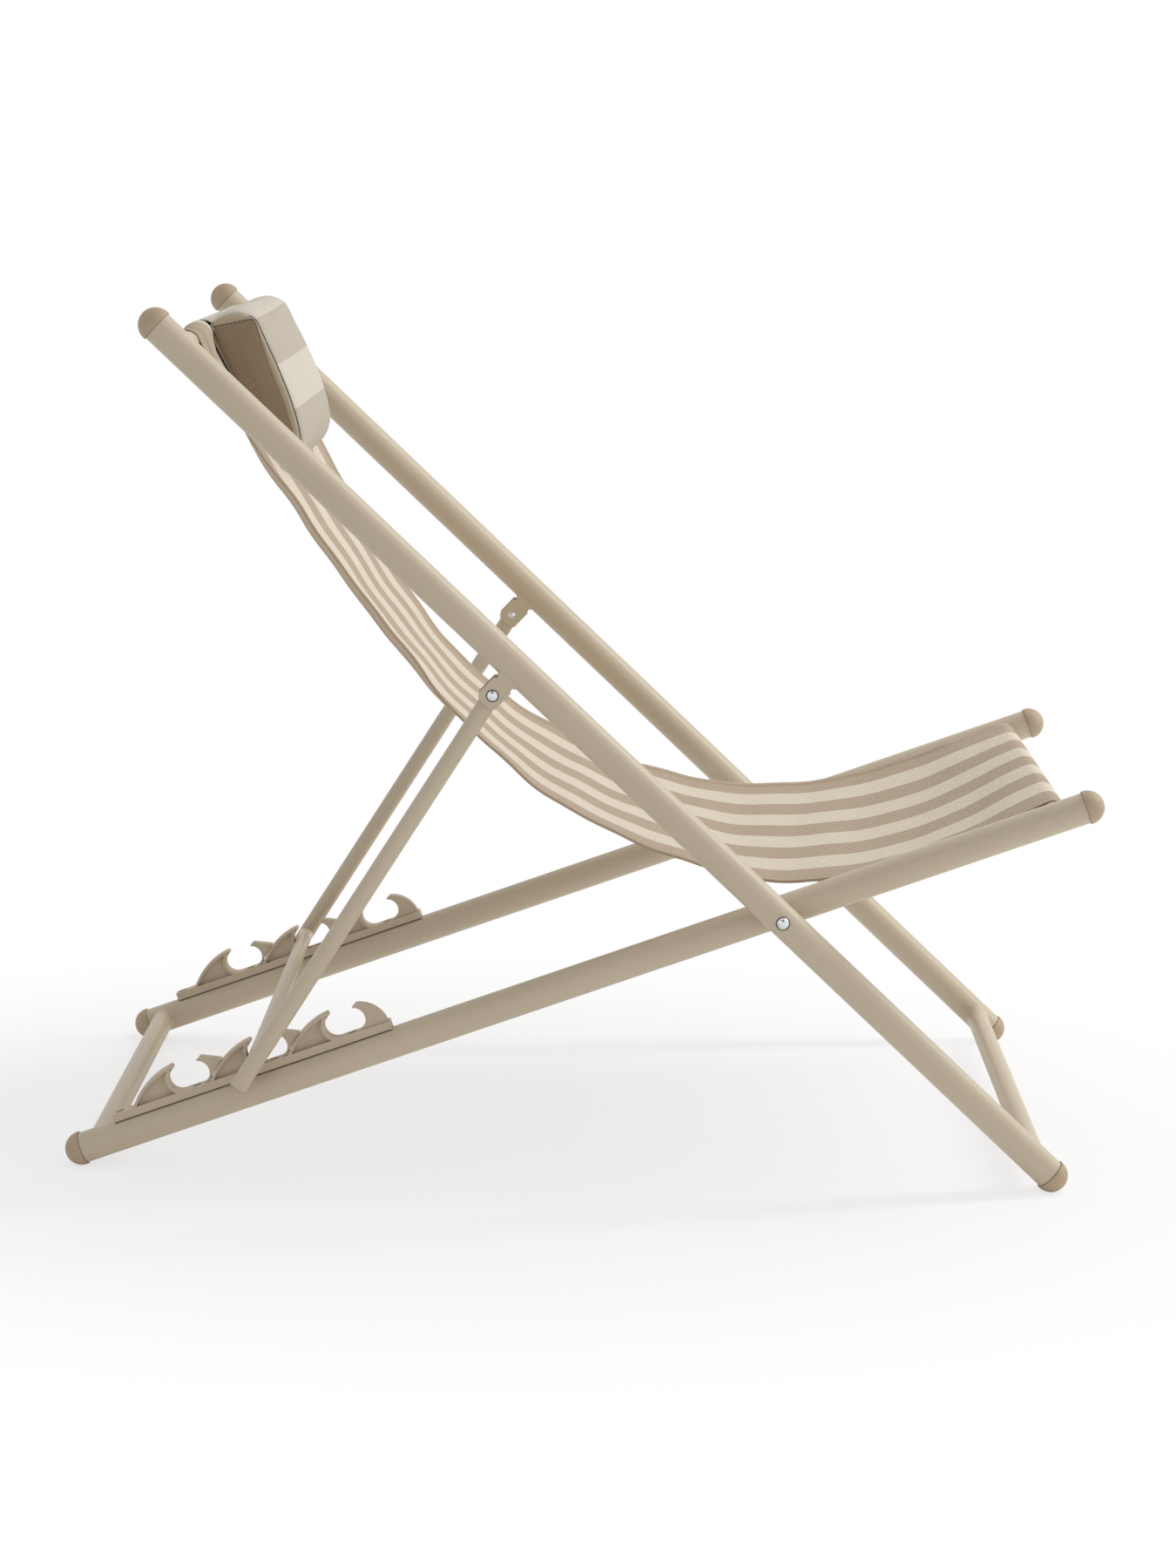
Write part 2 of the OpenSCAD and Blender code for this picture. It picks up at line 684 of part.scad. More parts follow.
seat_tube(left);  // seat_tube_left
seat_tube(right);  // seat_tube_right
front_bar();
rear_bar();
cap_front(left);  // cap_front_left
cap_front(right);  // cap_front_right
foot_rear(left);  // foot_rear_left
foot_rear(right);  // foot_rear_right
rack(left);  // rack_left
rack(right);  // rack_right
rack_screws(left);  // rack_screws_left
rack_screws(right);  // rack_screws_right
back_tube(left);  // back_tube_left
back_tube(right);  // back_tube_right
head_bar();
foot_bar();
cap_head(left);  // cap_head_left
cap_head(right);  // cap_head_right
foot_front(left);  // foot_front_left
foot_front(right);  // foot_front_right
bracket(left);  // bracket_left
bracket(right);  // bracket_right
prop_rivet(left);  // prop_rivet_left
prop_rivet(right);  // prop_rivet_right
pivot_bolt(left);  // pivot_bolt_left
pivot_bolt(right);  // pivot_bolt_right
pivot_spacer(left);  // pivot_spacer_left
pivot_spacer(right);  // pivot_spacer_right
pivot_washer(left);  // pivot_washer_left
pivot_washer(right);  // pivot_washer_right
pivot_nut(left);  // pivot_nut_left
pivot_nut(right);  // pivot_nut_right
prop_tube(left);  // prop_tube_left
prop_tube(right);  // prop_tube_right
prop_bar();
prop_plug(left);  // prop_plug_left
prop_plug(right);  // prop_plug_right
sling();
pillow();
pillow_strap();
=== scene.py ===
"""Reclining sun lounger: cloth, finishes, light and a camera round its solid frame."""
import json
import math

import bmesh
import bpy
import numpy as np
from bpy.props import FloatProperty, FloatVectorProperty, IntProperty, PointerProperty
from mathutils import Matrix, Vector


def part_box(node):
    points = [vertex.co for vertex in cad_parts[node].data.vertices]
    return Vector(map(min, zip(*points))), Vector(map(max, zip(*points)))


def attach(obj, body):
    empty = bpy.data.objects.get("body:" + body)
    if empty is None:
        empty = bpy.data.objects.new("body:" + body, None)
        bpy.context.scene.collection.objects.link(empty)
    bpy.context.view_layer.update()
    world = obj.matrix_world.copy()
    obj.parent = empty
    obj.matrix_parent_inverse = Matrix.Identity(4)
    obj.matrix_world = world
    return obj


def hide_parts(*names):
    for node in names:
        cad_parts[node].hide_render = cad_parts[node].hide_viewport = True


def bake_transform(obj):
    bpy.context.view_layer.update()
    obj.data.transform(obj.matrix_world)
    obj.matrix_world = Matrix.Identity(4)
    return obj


bl_info = {
    "name": "Reclining Sun Lounger",
    "version": (1, 0, 0),
    "blender": (4, 5, 0),
    "location": "3D View > Sidebar > Lounger",
    "description": "Dresses the lounger's frame with its sling, pillow, welds and finishes",
    "category": "Object",
}

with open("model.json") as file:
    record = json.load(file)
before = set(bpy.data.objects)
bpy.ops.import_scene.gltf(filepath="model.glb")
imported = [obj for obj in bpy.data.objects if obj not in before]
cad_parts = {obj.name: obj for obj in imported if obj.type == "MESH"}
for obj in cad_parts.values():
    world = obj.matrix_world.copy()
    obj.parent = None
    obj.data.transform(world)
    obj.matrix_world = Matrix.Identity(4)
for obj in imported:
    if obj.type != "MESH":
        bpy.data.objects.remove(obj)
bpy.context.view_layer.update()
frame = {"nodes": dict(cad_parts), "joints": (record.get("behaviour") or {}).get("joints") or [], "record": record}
NODES = frame["nodes"]
LEFT, RIGHT = 1, -1
SIDES = (("left", LEFT), ("right", RIGHT))

# What the side tubes of each body carry: (body, tubes, bars, caps)
SIDE_FRAMES = (
    ("base_frame", "seat_tube", ("rear_bar", "front_bar"), ("cap_front", "foot_rear")),
    ("back_frame", "back_tube", ("foot_bar", "head_bar"), ("cap_head", "foot_front")),
)


# ---- Where the frame is ----


def middle(node):
    """Centre of a solid's box."""
    low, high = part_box(node)
    return (low + high) / 2


def side_point(node):
    """Centre of a solid in the side plane, (x, z)."""
    centre = middle(node)
    return np.array([centre.x, centre.z])


def thickness(node):
    """Diameter of a bar that runs across the lounger."""
    low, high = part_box(node)
    return high.z - low.z


def breadth(node):
    """Size of a solid across the lounger, such as a side tube's diameter."""
    low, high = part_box(node)
    return high.y - low.y


def corners_of(node):
    """A solid's corners, as rows of x, y and z."""
    return np.array([corner.co[:] for corner in NODES[node].data.vertices])


def run_of(tube):
    """Direction of a side tube in the side plane, from the pivot to its upper end."""
    leg = (FRONT_BAR if tube.startswith("seat") else HEAD_BAR) - PIVOT
    return leg / np.linalg.norm(leg)


PIVOT = np.array([frame["joints"][0]["pos_m"][0], frame["joints"][0]["pos_m"][2]])
HEAD_BAR = side_point("head_bar")
FRONT_BAR = side_point("front_bar")
BAR_RADIUS = thickness("head_bar") / 2
BAR_GAP = 0.0003
PILLOW_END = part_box("pillow")[1].y
SEAT_SLOPE = math.degrees(math.atan2(FRONT_BAR[1] - PIVOT[1], FRONT_BAR[0] - PIVOT[0]))


# ---- Settings ----


class ClothSettings(bpy.types.PropertyGroup):
    """Sizes of the sling and how it hangs."""

    width: FloatProperty(
        name="Sling Width", description="Width of the sling across the lounger",
        default=breadth("sling"), unit="LENGTH")
    thick: FloatProperty(
        name="Cloth Thickness", description="Thickness of one layer of the sling",
        default=0.0013, unit="LENGTH")
    stripes: IntProperty(
        name="Stripes", description="Lengthwise stripes across the sling", default=9, min=1)
    hem: FloatProperty(
        name="Hem Width", description="Width of the turned hem along each edge",
        default=0.0135, unit="LENGTH")
    rib: FloatProperty(
        name="Rib Spacing", description="Distance between the woven ribs",
        default=0.0019, unit="LENGTH")
    stitch: FloatProperty(
        name="Stitch Length", description="Distance from one stitch to the next",
        default=0.0042, unit="LENGTH")
    tunnel: FloatProperty(
        name="Tunnel Depth", description="Distance from a bar's crown to the tunnel's first seam",
        default=0.027, unit="LENGTH")
    flap: FloatProperty(
        name="Tunnel Flap", description="Length of the cloth sewn to the sling's back",
        default=0.024, unit="LENGTH")
    right_lean: FloatProperty(
        name="Right Lean", description="Slope of the right edge where it leaves the head bar",
        default=math.radians(64.7), subtype="ANGLE")
    left_lean: FloatProperty(
        name="Left Lean", description="Slope of the left edge where it leaves the head bar",
        default=math.radians(60.44), subtype="ANGLE")
    right_radii: FloatVectorProperty(
        name="Right Radii", description="Radii of the right edge, from the head to the front",
        default=(1.429, 0.827, 0.449, 0.393), size=4, unit="LENGTH")
    right_slopes: FloatVectorProperty(
        name="Right Slopes", description="Slopes in degrees where the right edge's radii meet",
        default=(46, 42, 11), size=3)
    right_rise: FloatProperty(
        name="Right Rise", description="Slope of the right edge where it reaches the front bar",
        default=math.radians(22.5), subtype="ANGLE")
    left_radii: FloatVectorProperty(
        name="Left Radii", description="Radii of the left edge, from the head to the front",
        default=(0.976, 0.401, 0.543, 0.435), size=4, unit="LENGTH")
    left_slopes: FloatVectorProperty(
        name="Left Slopes", description="Slopes in degrees where the left edge's radii meet",
        default=(52, 36, 14), size=3)
    left_rise: FloatProperty(
        name="Left Rise", description="Slope of the left edge where it reaches the front bar",
        default=math.radians(SEAT_SLOPE), subtype="ANGLE")
    right_curl: FloatProperty(
        name="Right Curl", description="How far the right edge of the back curls up",
        default=0.0062, unit="LENGTH")
    loop_slack: FloatProperty(
        name="Loop Slack", description="How far the head tunnel stands off beside the pillow",
        default=0.0068, unit="LENGTH")


class PillowSettings(bpy.types.PropertyGroup):
    """Sizes of the head pillow and its strap."""

    width: FloatProperty(
        name="Pillow Width", description="Width of the pillow across the lounger",
        default=breadth("pillow"), unit="LENGTH")
    skew: FloatProperty(
        name="Skew", description="How much further out the right end stands than the left",
        default=0.001, unit="LENGTH")
    pressure: FloatProperty(
        name="Filling Pressure", description="Pressure that swells the pillow's cover", default=4.0)
    swell: FloatProperty(
        name="Most Swell", description="The furthest a point of the cover may move",
        default=0.006, unit="LENGTH")
    shade_flange: FloatProperty(
        name="Painted Shade Flange", description="How far dark panel cloth stands out beside the panels, as painted shade",
        default=0.0085, unit="LENGTH")
    strap_width: FloatProperty(
        name="Strap Width", description="Width of the strap over the head bar",
        default=breadth("pillow_strap"), unit="LENGTH")
    strap_thick: FloatProperty(
        name="Strap Thickness", description="Thickness of the strap", default=0.0016, unit="LENGTH")
    strap_slack: FloatProperty(
        name="Strap Slack", description="How far the strap stands off the bar's crown",
        default=0.0016, unit="LENGTH")
    strap_tail: FloatProperty(
        name="Strap Tail", description="How far down the sling's back the strap ends",
        default=0.100, unit="LENGTH")


def colour_property(name, description, default):
    """A colour that the user may change."""
    return FloatVectorProperty(
        name=name, description=description, default=default, size=3, subtype="COLOR", min=0, max=1)


class FinishSettings(bpy.types.PropertyGroup):
    """Colours of the lounger."""

    frame: colour_property("Frame", "Powder coat on the tubes", (0.565, 0.476, 0.350))
    plastic: colour_property("Plastic", "Moulded caps and feet", (0.460, 0.350, 0.232))
    # The racks' paler colour is partly their own plastic and partly painted light on their flanks.
    rack: colour_property("Racks", "Moulded notch racks", (0.54, 0.44, 0.325))
    zinc: colour_property("Zinc", "Rivets, bolts and screws", (0.78, 0.80, 0.82))
    taupe: colour_property("Taupe", "Dark stripes of the cloth", (0.510, 0.394, 0.274))
    cream: colour_property("Cream", "Light stripes of the cloth", (0.82, 0.72, 0.58))
    pillow_taupe: colour_property("Pillow Taupe", "Dark stripes of the pillow", (0.49, 0.428, 0.34))
    pillow_cream: colour_property("Pillow Cream", "Light stripes of the pillow", (0.64, 0.585, 0.49))
    panel: colour_property("Side Panel", "Side panels of the pillow", (0.36, 0.262, 0.165))
    mesh_band: colour_property("Mesh Band", "Band round the side panels", (0.52, 0.44, 0.315))
    thread: colour_property("Thread", "Stitching of the hems", (0.30, 0.24, 0.17))


class StageSettings(bpy.types.PropertyGroup):
    """Camera and light."""

    camera: FloatVectorProperty(
        name="Camera Place", description="Where the camera stands",
        default=(0.0351, -3.4584, 1.0402), size=3, subtype="TRANSLATION", unit="LENGTH")
    heading: FloatProperty(
        name="Heading", description="Turn of the camera to its right",
        default=math.radians(-0.503), subtype="ANGLE")
    tilt: FloatProperty(
        name="Tilt", description="How far the camera looks down",
        default=math.radians(11.113), subtype="ANGLE")
    roll: FloatProperty(
        name="Roll", description="Roll of the camera", default=math.radians(0.785), subtype="ANGLE")
    lens: FloatProperty(
        name="Lens", description="Focal length in millimetres", default=74.32, min=10)
    key_light: FloatProperty(
        name="Strip Light", description="Power of the long light above the front end",
        default=38.0, unit="POWER")
    sky: FloatProperty(
        name="Surroundings", description="Strength of the light from all round", default=0.70)


# ---- Shader maths ----


class Value:
    """A shader socket that takes part in Python expressions."""

    def __init__(self, nodes, socket):
        self.nodes = nodes
        self.socket = socket

    def math(self, operation, *values):
        """The result of one Math node."""
        return self.nodes.add("ShaderNodeMath", {"operation": operation}, dict(enumerate(values)))

    def __add__(self, other):
        return self.math("ADD", self, other)

    __radd__ = __add__

    def __sub__(self, other):
        return self.math("SUBTRACT", self, other)

    def __rsub__(self, other):
        return self.math("SUBTRACT", other, self)

    def __mul__(self, other):
        return self.math("MULTIPLY", self, other)

    __rmul__ = __mul__

    def __truediv__(self, other):
        return self.math("DIVIDE", self, other)

    def __mod__(self, other):
        return self.math("FLOORED_MODULO", self, other)

    def __pow__(self, other):
        return self.math("POWER", self, other)

    def __gt__(self, other):
        return self.math("GREATER_THAN", self, other)

    def __lt__(self, other):
        return self.math("LESS_THAN", self, other)

    def __abs__(self):
        return self.math("ABSOLUTE", self)

    def floor(self):
        return self.math("FLOOR", self)

    def sin(self):
        return self.math("SINE", self)

    def most(self, other):
        return self.math("MAXIMUM", self, other)

    def least(self, other):
        return self.math("MINIMUM", self, other)

    def wave(self, pitch):
        """Rounded ridges, one for each pitch, from 0 in a valley to 1 on a crown."""
        return abs((self * (math.pi / pitch)).sin())

    def near(self, place, reach):
        """1 at a place, falling to 0 at reach from it."""
        return (1 - abs(self - place) / reach).most(0)


class Nodes:
    """A shader's node tree under construction."""

    def __init__(self, tree):
        self.tree = tree

    def add(self, kind, settings, values, output=0):
        """Adds one node with its settings, then its socket values or links."""
        node = self.tree.nodes.new(kind)
        for name, setting in settings.items():
            setattr(node, name, setting)
        for key, value in values.items():
            self.join(value, node.inputs[key])
        return Value(self, node.outputs[output])

    def join(self, value, socket):
        """Links a value to a socket, or sets the socket to a number or a colour."""
        if isinstance(value, Value):
            self.tree.links.new(value.socket, socket)
        else:
            socket.default_value = value

    def parts(self, vector, axes):
        """A vector's numbers along those axes."""
        return [self.add("ShaderNodeSeparateXYZ", {}, {0: vector}, axis) for axis in axes]

    def ray(self, kind):
        """1 for rays of that kind, such as Camera, and 0 for all others."""
        return self.add("ShaderNodeLightPath", {}, {}, f"Is {kind} Ray")


class Paint(Nodes):
    """A material under construction."""

    def __init__(self, name):
        self.material = bpy.data.materials.new(name)
        self.material.use_nodes = True
        super().__init__(self.material.node_tree)
        self.shader = self.tree.nodes["Principled BSDF"]

    def place(self):
        """Metres in the lounger's own frame."""
        return self.add("ShaderNodeTexCoord", {}, {}, "Object")

    def cloth_place(self):
        """Metres across and along the cloth."""
        return self.parts(self.add("ShaderNodeUVMap", {"uv_map": "cloth"}, {}), "XY")

    def joined(self, x, y):
        """A vector from two numbers."""
        return self.add("ShaderNodeCombineXYZ", {}, {0: x, 1: y})

    def noise(self, place, scale, detail):
        """Cloudy noise from 0 to 1."""
        return self.add("ShaderNodeTexNoise", {}, {"Vector": place, "Scale": scale, "Detail": detail})

    def mix(self, factor, low, high):
        """A colour between two colours."""
        low, high = [c if isinstance(c, Value) else (*c, 1) for c in (low, high)]
        return self.add("ShaderNodeMix", {"data_type": "RGBA"}, {0: factor, 6: low, 7: high}, 2)

    def bump(self, height, distance, strength):
        """Normals of a relief whose full height is a distance."""
        return self.add("ShaderNodeBump", {}, {
            "Height": height, "Distance": distance, "Strength": strength})

    def finish(self, **sockets):
        """Sets the shader's sockets, named in lower case with underscores."""
        for name, value in sockets.items():
            socket = self.shader.inputs[name.replace("_", " ").title().replace("Ior", "IOR")]
            if not isinstance(value, Value) and hasattr(socket.default_value, "__len__"):
                value = (*value, 1)
            self.join(value, socket)
        return self.material


def shade(colour, amount):
    """A colour made darker or lighter."""
    return tuple(min(1.0, channel * amount) for channel in colour)


def powder_coat(name, colour):
    """Satin powder coat: fine peel, a faint cloudiness and small specks."""
    paint = Paint(name)
    place = paint.place()
    cloud = paint.noise(place, 7, 3)
    peel = paint.noise(place, 900, 2)
    speck = paint.noise(place, 2600, 1)
    tone = paint.mix(cloud, shade(colour, 0.955), shade(colour, 1.045))
    return paint.finish(
        base_color=paint.mix((speck > 0.66) * 0.35, tone, shade(colour, 0.86)),
        roughness=0.34 + peel * 0.14,
        normal=paint.bump(peel + speck * 0.35, 0.00010, 0.55))


def moulded(name, colour):
    """Matte moulded plastic: fine grain, faint flow marks and slightly glossy high spots."""
    paint = Paint(name)
    place = paint.place()
    flow = paint.noise(place, 22, 4)
    grain = paint.noise(place, 1500, 3)
    return paint.finish(
        base_color=paint.mix(flow, shade(colour, 0.93), shade(colour, 1.06)),
        roughness=0.44 + grain * 0.2,
        normal=paint.bump(grain, 0.00008, 0.6))


def bright_zinc(name, colour):
    """Bright zinc: fine turning marks and a mottled passivation."""
    paint = Paint(name)
    place = paint.place()
    mottle = paint.noise(place, 420, 3)
    marks = paint.noise(place, 5200, 1)
    return paint.finish(
        base_color=paint.mix(mottle, shade(colour, 0.86), colour),
        metallic=1.0,
        roughness=0.12 + mottle * 0.14,
        normal=paint.bump(marks, 0.00003, 0.5))


def weave(paint, across, along, rib):
    """Height of a ribbed weave: ribs run across, threads are staggered from rib to rib."""
    pitch = rib * 0.72
    row = (along / rib).floor() % 2
    thread = (across + row * (pitch / 2)).wave(pitch)
    return along.wave(rib) ** 0.7 * (0.62 + thread * 0.38), row


def woven(paint, tone, dark, height):
    """Cloth whose valleys are darker than its ribs: the darker valleys are painted shade."""
    place = paint.place()
    fade = paint.noise(place, 11, 3)
    fibre = paint.noise(place, 3800, 1)
    lit = paint.mix(height ** 0.6 * 0.75 + fibre * 0.12 + fade * 0.16, dark, tone)
    return {
        "base_color": lit,
        "roughness": 0.78 + fibre * 0.16,
        "normal": paint.bump(height, 0.00042, 0.75),
        "sheen_weight": 0.12,
        "sheen_roughness": 0.5,
    }


def stitches(across, along, seam, pitch, width):
    """Two masks of a sewn line at a place across: its threads, and the dent they make."""
    thread_share, dent_width = 0.68, width * 3.2
    line = across.near(seam, width)
    dash = ((along / pitch) % 1) < thread_share
    return (line > 0.35) * dash, across.near(seam, dent_width)


def sling_cloth(name, cloth, finish, painted_hem_light=1.0):
    """Striped sling cloth with a sewn line inside each hem; the hems may be painted paler, as painted light from
    below.
    """
    paint = Paint(name)
    across, along = paint.cloth_place()
    height, row = weave(paint, across, along, cloth.rib)
    # The valley colours are painted shade in the weave.
    jog, taupe_valley, cream_valley = 0.0005, 0.66, 0.62
    stripe = ((across + row * jog) / (cloth.width / cloth.stripes)).floor() % 2
    tone = paint.mix(stripe, finish.taupe, finish.cream)
    dark = paint.mix(stripe, shade(finish.taupe, taupe_valley), shade(finish.cream, cream_valley))
    inward = cloth.width / 2 - abs(across - cloth.width / 2)
    # Paler hems are painted light: light from below on the sling's back, painted into the hem colour.
    if painted_hem_light != 1.0:
        hem_end, blur = cloth.hem + 0.006, 0.002
        hem = ((hem_end - inward) / blur).most(0).least(1)
        tone = paint.mix(hem, tone, shade(finish.taupe, painted_hem_light))
        dark = paint.mix(hem, dark, shade(finish.taupe, taupe_valley * painted_hem_light))
    seam = cloth.hem - 0.0025
    thread, dent = stitches(inward, along, seam, cloth.stitch, width=0.0008)
    look = woven(paint, tone, dark, height)
    # The dent also darkens the colour towards the thread: painted shade in the dent beside the seam.
    look["base_color"] = paint.mix(
        thread * 0.9 + dent * 0.42 * (1 - thread), look["base_color"], finish.thread)
    look["normal"] = paint.bump(height - dent * 0.9 + thread * 1.1, 0.00042, 0.75)
    return paint.finish(**look)


def pillow_cloth(name, cloth, finish, edges):
    """The pillow's finer face cloth, striped across, with faint streaks down it."""
    paint = Paint(name)
    across, along = paint.cloth_place()
    height, row = weave(paint, along, across, cloth.rib * 0.5)
    stripe = 1 - (along > edges[0])
    for light, edge in zip((True, False), edges[1:]):
        stripe = stripe + (along > edge) * (1 if light else -1)
    streak = paint.noise(paint.joined(across * 900, along * 14), 1.0, 2)
    tone = paint.mix(stripe, finish.pillow_taupe, finish.pillow_cream)
    dark = paint.mix(stripe, shade(finish.pillow_taupe, 0.84), shade(finish.pillow_cream, 0.84))
    look = woven(paint, tone, dark, height)
    look["base_color"] = paint.mix((streak - 0.45).most(0) * 0.55, look["base_color"], dark)
    look["normal"] = paint.bump(height + streak * 0.8, 0.00016, 0.6)
    return paint.finish(**look)


def strap_cloth(name, cloth, colour, finish, seams):
    """Ribbed cloth of one colour with sewn lines across it."""
    paint = Paint(name)
    across, along = paint.cloth_place()
    height, _ = weave(paint, along, across, cloth.rib * 0.6)
    look = woven(paint, colour, shade(colour, 0.8), height)
    threads, dents = 0, 0
    for seam in seams:
        thread, dent = stitches(along, across, seam, cloth.stitch, width=0.0007)
        threads, dents = thread + threads, dent + dents
    # The dents also darken the colour: painted shade beside the seams.
    look["base_color"] = paint.mix(threads * 0.55 + dents * 0.2, look["base_color"], finish.thread)
    look["normal"] = paint.bump(height * 0.5 - dents + threads, 0.0005, 0.75)
    return paint.finish(**look)


def plain_cloth(name, cloth, colour, depth):
    """Ribbed cloth of one colour."""
    paint = Paint(name)
    across, along = paint.cloth_place()
    height, _ = weave(paint, across, along, cloth.rib)
    return paint.finish(**woven(paint, colour, shade(colour, depth), height))


def mesh_cloth(name, colour):
    """Open mesh band: a slanting lattice of knots with dark gaps, painted as shade in the gaps."""
    paint = Paint(name)
    across, along = paint.cloth_place()
    knots = (across + along).wave(0.0028) * (across - along).wave(0.0028)
    return paint.finish(**woven(paint, shade(colour, 1.5), shade(colour, 0.22), knots ** 0.8))


def sewn_line(name, cloth, finish):
    """A sunk seam sewn with dark thread; its ground and thread are painted darker, as shade in the sunk seam."""
    paint = Paint(name)
    along, across = paint.cloth_place()
    dash = ((along / cloth.stitch) % 1) < 0.66
    # Darkened panel and thread colours: painted shade in the sunk seam.
    tone = paint.mix(dash, shade(finish.panel, 0.9), shade(finish.thread, 0.16))
    return paint.finish(
        base_color=tone, roughness=0.7 + dash * 0.1, normal=paint.bump(dash, 0.0004, 0.7))


# ---- Cloth geometry ----


def spread(first, last, count):
    """Evenly spaced values from first to last."""
    return [first + (last - first) * k / (count - 1) for k in range(count)]


def between(first, last, share):
    """The value at a share of the way from first to last."""
    return first + (last - first) * share


def ease(place, start=0, end=1):
    """Smooth step from 0 at start to 1 at end."""
    share = min(max((place - start) / (end - start), 0), 1)
    return share * share * (3 - 2 * share)


def hump(distance, centre, reach, height):
    """Smooth hump of that height, which ends at a reach from its centre."""
    return height * max(0, 1 - ((distance - centre) / reach) ** 2) ** 2


def down(angle):
    """Direction in the side plane at an angle below the horizontal, in degrees."""
    return np.array([math.cos(math.radians(angle)), -math.sin(math.radians(angle))])


def out(angle):
    """Side-plane direction that stands on cloth sloping at that angle, towards the sitter."""
    return np.array([math.sin(math.radians(angle)), math.cos(math.radians(angle))])


def in_space(point, y):
    """A side-plane point at a place across the lounger."""
    return [point[0], y, point[1]]


class HangingLine:
    """One line of the sling in the side plane: straight, four tangent arcs, straight."""

    def __init__(self, lean, radii, slopes, rise, reach):
        lean, rise = math.degrees(lean), math.degrees(rise)
        angles = [lean, *slopes, -rise]
        start = HEAD_BAR + reach * out(lean)
        end = FRONT_BAR + reach * out(-rise)
        arcs = [r * (out(a) - out(b)) for r, a, b in zip(radii, angles, angles[1:])]
        rest = end - start - sum(arcs)
        first, last = np.linalg.solve(np.array([down(lean), down(-rise)]).T, rest)
        self.parts = [(first, lean, lean)]
        self.parts += [
            (r * math.radians(a - b), a, b) for r, a, b in zip(radii, angles, angles[1:])]
        self.parts += [(last, -rise, -rise)]
        self.start = start
        self.length = sum(part[0] for part in self.parts)

    def at(self, distance):
        """Point and slope at a distance from the head bar; straight on past either end."""
        point, left = self.start, distance
        for index, (length, slope, next_slope) in enumerate(self.parts):
            final = index == len(self.parts) - 1
            run = left if final or left < length else length
            if slope == next_slope:
                point = point + run * down(slope)
                turned = slope
            elif run < 0:
                return point + run * down(slope), slope
            else:
                radius = length / math.radians(slope - next_slope)
                turned = slope - math.degrees(run / radius)
                point = point + radius * (out(slope) - out(turned))
            left -= run
            if left == 0:
                break
        return point, turned


class Hang:
    """The sling's middle surface, between its right and left edges."""

    def __init__(self, cloth):
        self.width = cloth.width
        self.reach = BAR_RADIUS + BAR_GAP + cloth.thick / 2
        self.right = HangingLine(
            cloth.right_lean, cloth.right_radii, cloth.right_slopes, cloth.right_rise, self.reach)
        self.left = HangingLine(
            cloth.left_lean, cloth.left_radii, cloth.left_slopes, cloth.left_rise, self.reach)
        self.length = (self.right.length + self.left.length) / 2

    def at(self, distance, y):
        """Side-plane point and slope at a distance from the head bar, for a place across."""
        share = y / self.width + 0.5
        a, slope_a = self.right.at(distance * self.right.length / self.length)
        b, slope_b = self.left.at(distance * self.left.length / self.length)
        return between(a, b, share), between(slope_a, slope_b, share)


def loop_bulge(cloth, distance, y):
    """How far the head tunnel stands off its taut line, at the free ends beside the pillow."""
    held, freeing, pinched, widening = 0.002, 0.007, 0.022, 0.055
    beside = abs(y) - PILLOW_END
    free = ease(min((beside + held) / freeing, (cloth.width / 2 - abs(y)) / pinched))
    outer = min(max(beside / widening, 0), 1)
    # Each pair is the value at the pillow, then further out
    crown = between(-0.009, 0.0035, outer)
    before, beyond = between(0.019, 0.028, outer), between(0.016, 0.060, outer)
    return hump(distance, crown, before if distance < crown else beyond, cloth.loop_slack * free)


# Where the cloth hangs slack: (distance from the head bar, reach, depth)
RIGHT_SAGS = ((0.132, 0.070, 0.0045), (0.425, 0.060, 0.0025))
SEAT_DIP, SEAT_BELLY = (0.86, 0.16, 0.0095), (1.01, 0.12, 0.0105)


def edge_curl(cloth, distance, y):
    """How far the slack back of the sling curls up along its right hem, and dips beside it."""
    curl_width = 0.060
    inward = (cloth.width / 2 + y) / curl_width
    if inward > 1:
        return 0
    slack = ease(distance, 0.05, 0.17) * ease(distance, 0.50, 0.37)
    curl = cloth.right_curl * slack * (1 - inward * 5) * (1 - inward) ** 1.6
    return curl - ease(inward, 1, 0.5) * sum(hump(distance, *sag) for sag in RIGHT_SAGS)


def seat_slack(distance, y, hang):
    """How far the slack seat hangs below its taut surface, most towards the right edge."""
    share = 0.5 - y / hang.width
    dip = hump(distance, *SEAT_DIP) * share
    belly = hump(distance, *SEAT_BELLY) * (1 - max(0, 1 - 1.9 * share) ** 2)
    return dip + belly * (1 - 0.25 * ease(share, 0.7, 1))


def tunnel(hang, cloth, y, head):
    """Cloth from a tunnel's sewn flap round the bar, up to where the sling leaves it."""
    forth = 1 if head else -1
    flap_gap = cloth.thick * 1.12

    def along(distance):
        """Point and slope of the slack sling at a distance from this tunnel's bar."""
        place = distance if head else hang.length - distance
        point, slope = hang.at(place, y)
        return point - seat_slack(place, y, hang) * out(slope), slope

    line = []
    for distance in spread(cloth.tunnel + cloth.flap, cloth.tunnel, 7):
        point, slope = along(distance)
        line.append(point - flap_gap * out(slope))
    corner = line[-1]
    point, slope = along(0)
    centre = point - hang.reach * out(slope)
    ahead, up = forth * down(slope), out(slope)
    leg = corner - centre
    bearing = math.atan2(leg @ ahead, leg @ up)
    touch = bearing + math.acos(hang.reach / np.linalg.norm(leg))

    def shade_rim(angle):
        """Point of the cloth round the bar, at an angle from the bar's crown."""
        round_to = hang.reach * (angle - 2 * math.pi)
        loose = loop_bulge(cloth, round_to, y) if head else 0
        return centre + (hang.reach + loose) * (math.sin(angle) * ahead + math.cos(angle) * up)

    line += [between(corner, shade_rim(touch), share) for share in spread(0, 1, 6)[1:-1]]
    line += [shade_rim(angle) for angle in spread(touch, 2 * math.pi, 30)[:-1]]
    return line


# Waves of the slack cloth: (height, radians per metre along it and across it, start)
WAVES = ((0.0007, 53, 4, 0), (0.0005, 91, -11, 1))


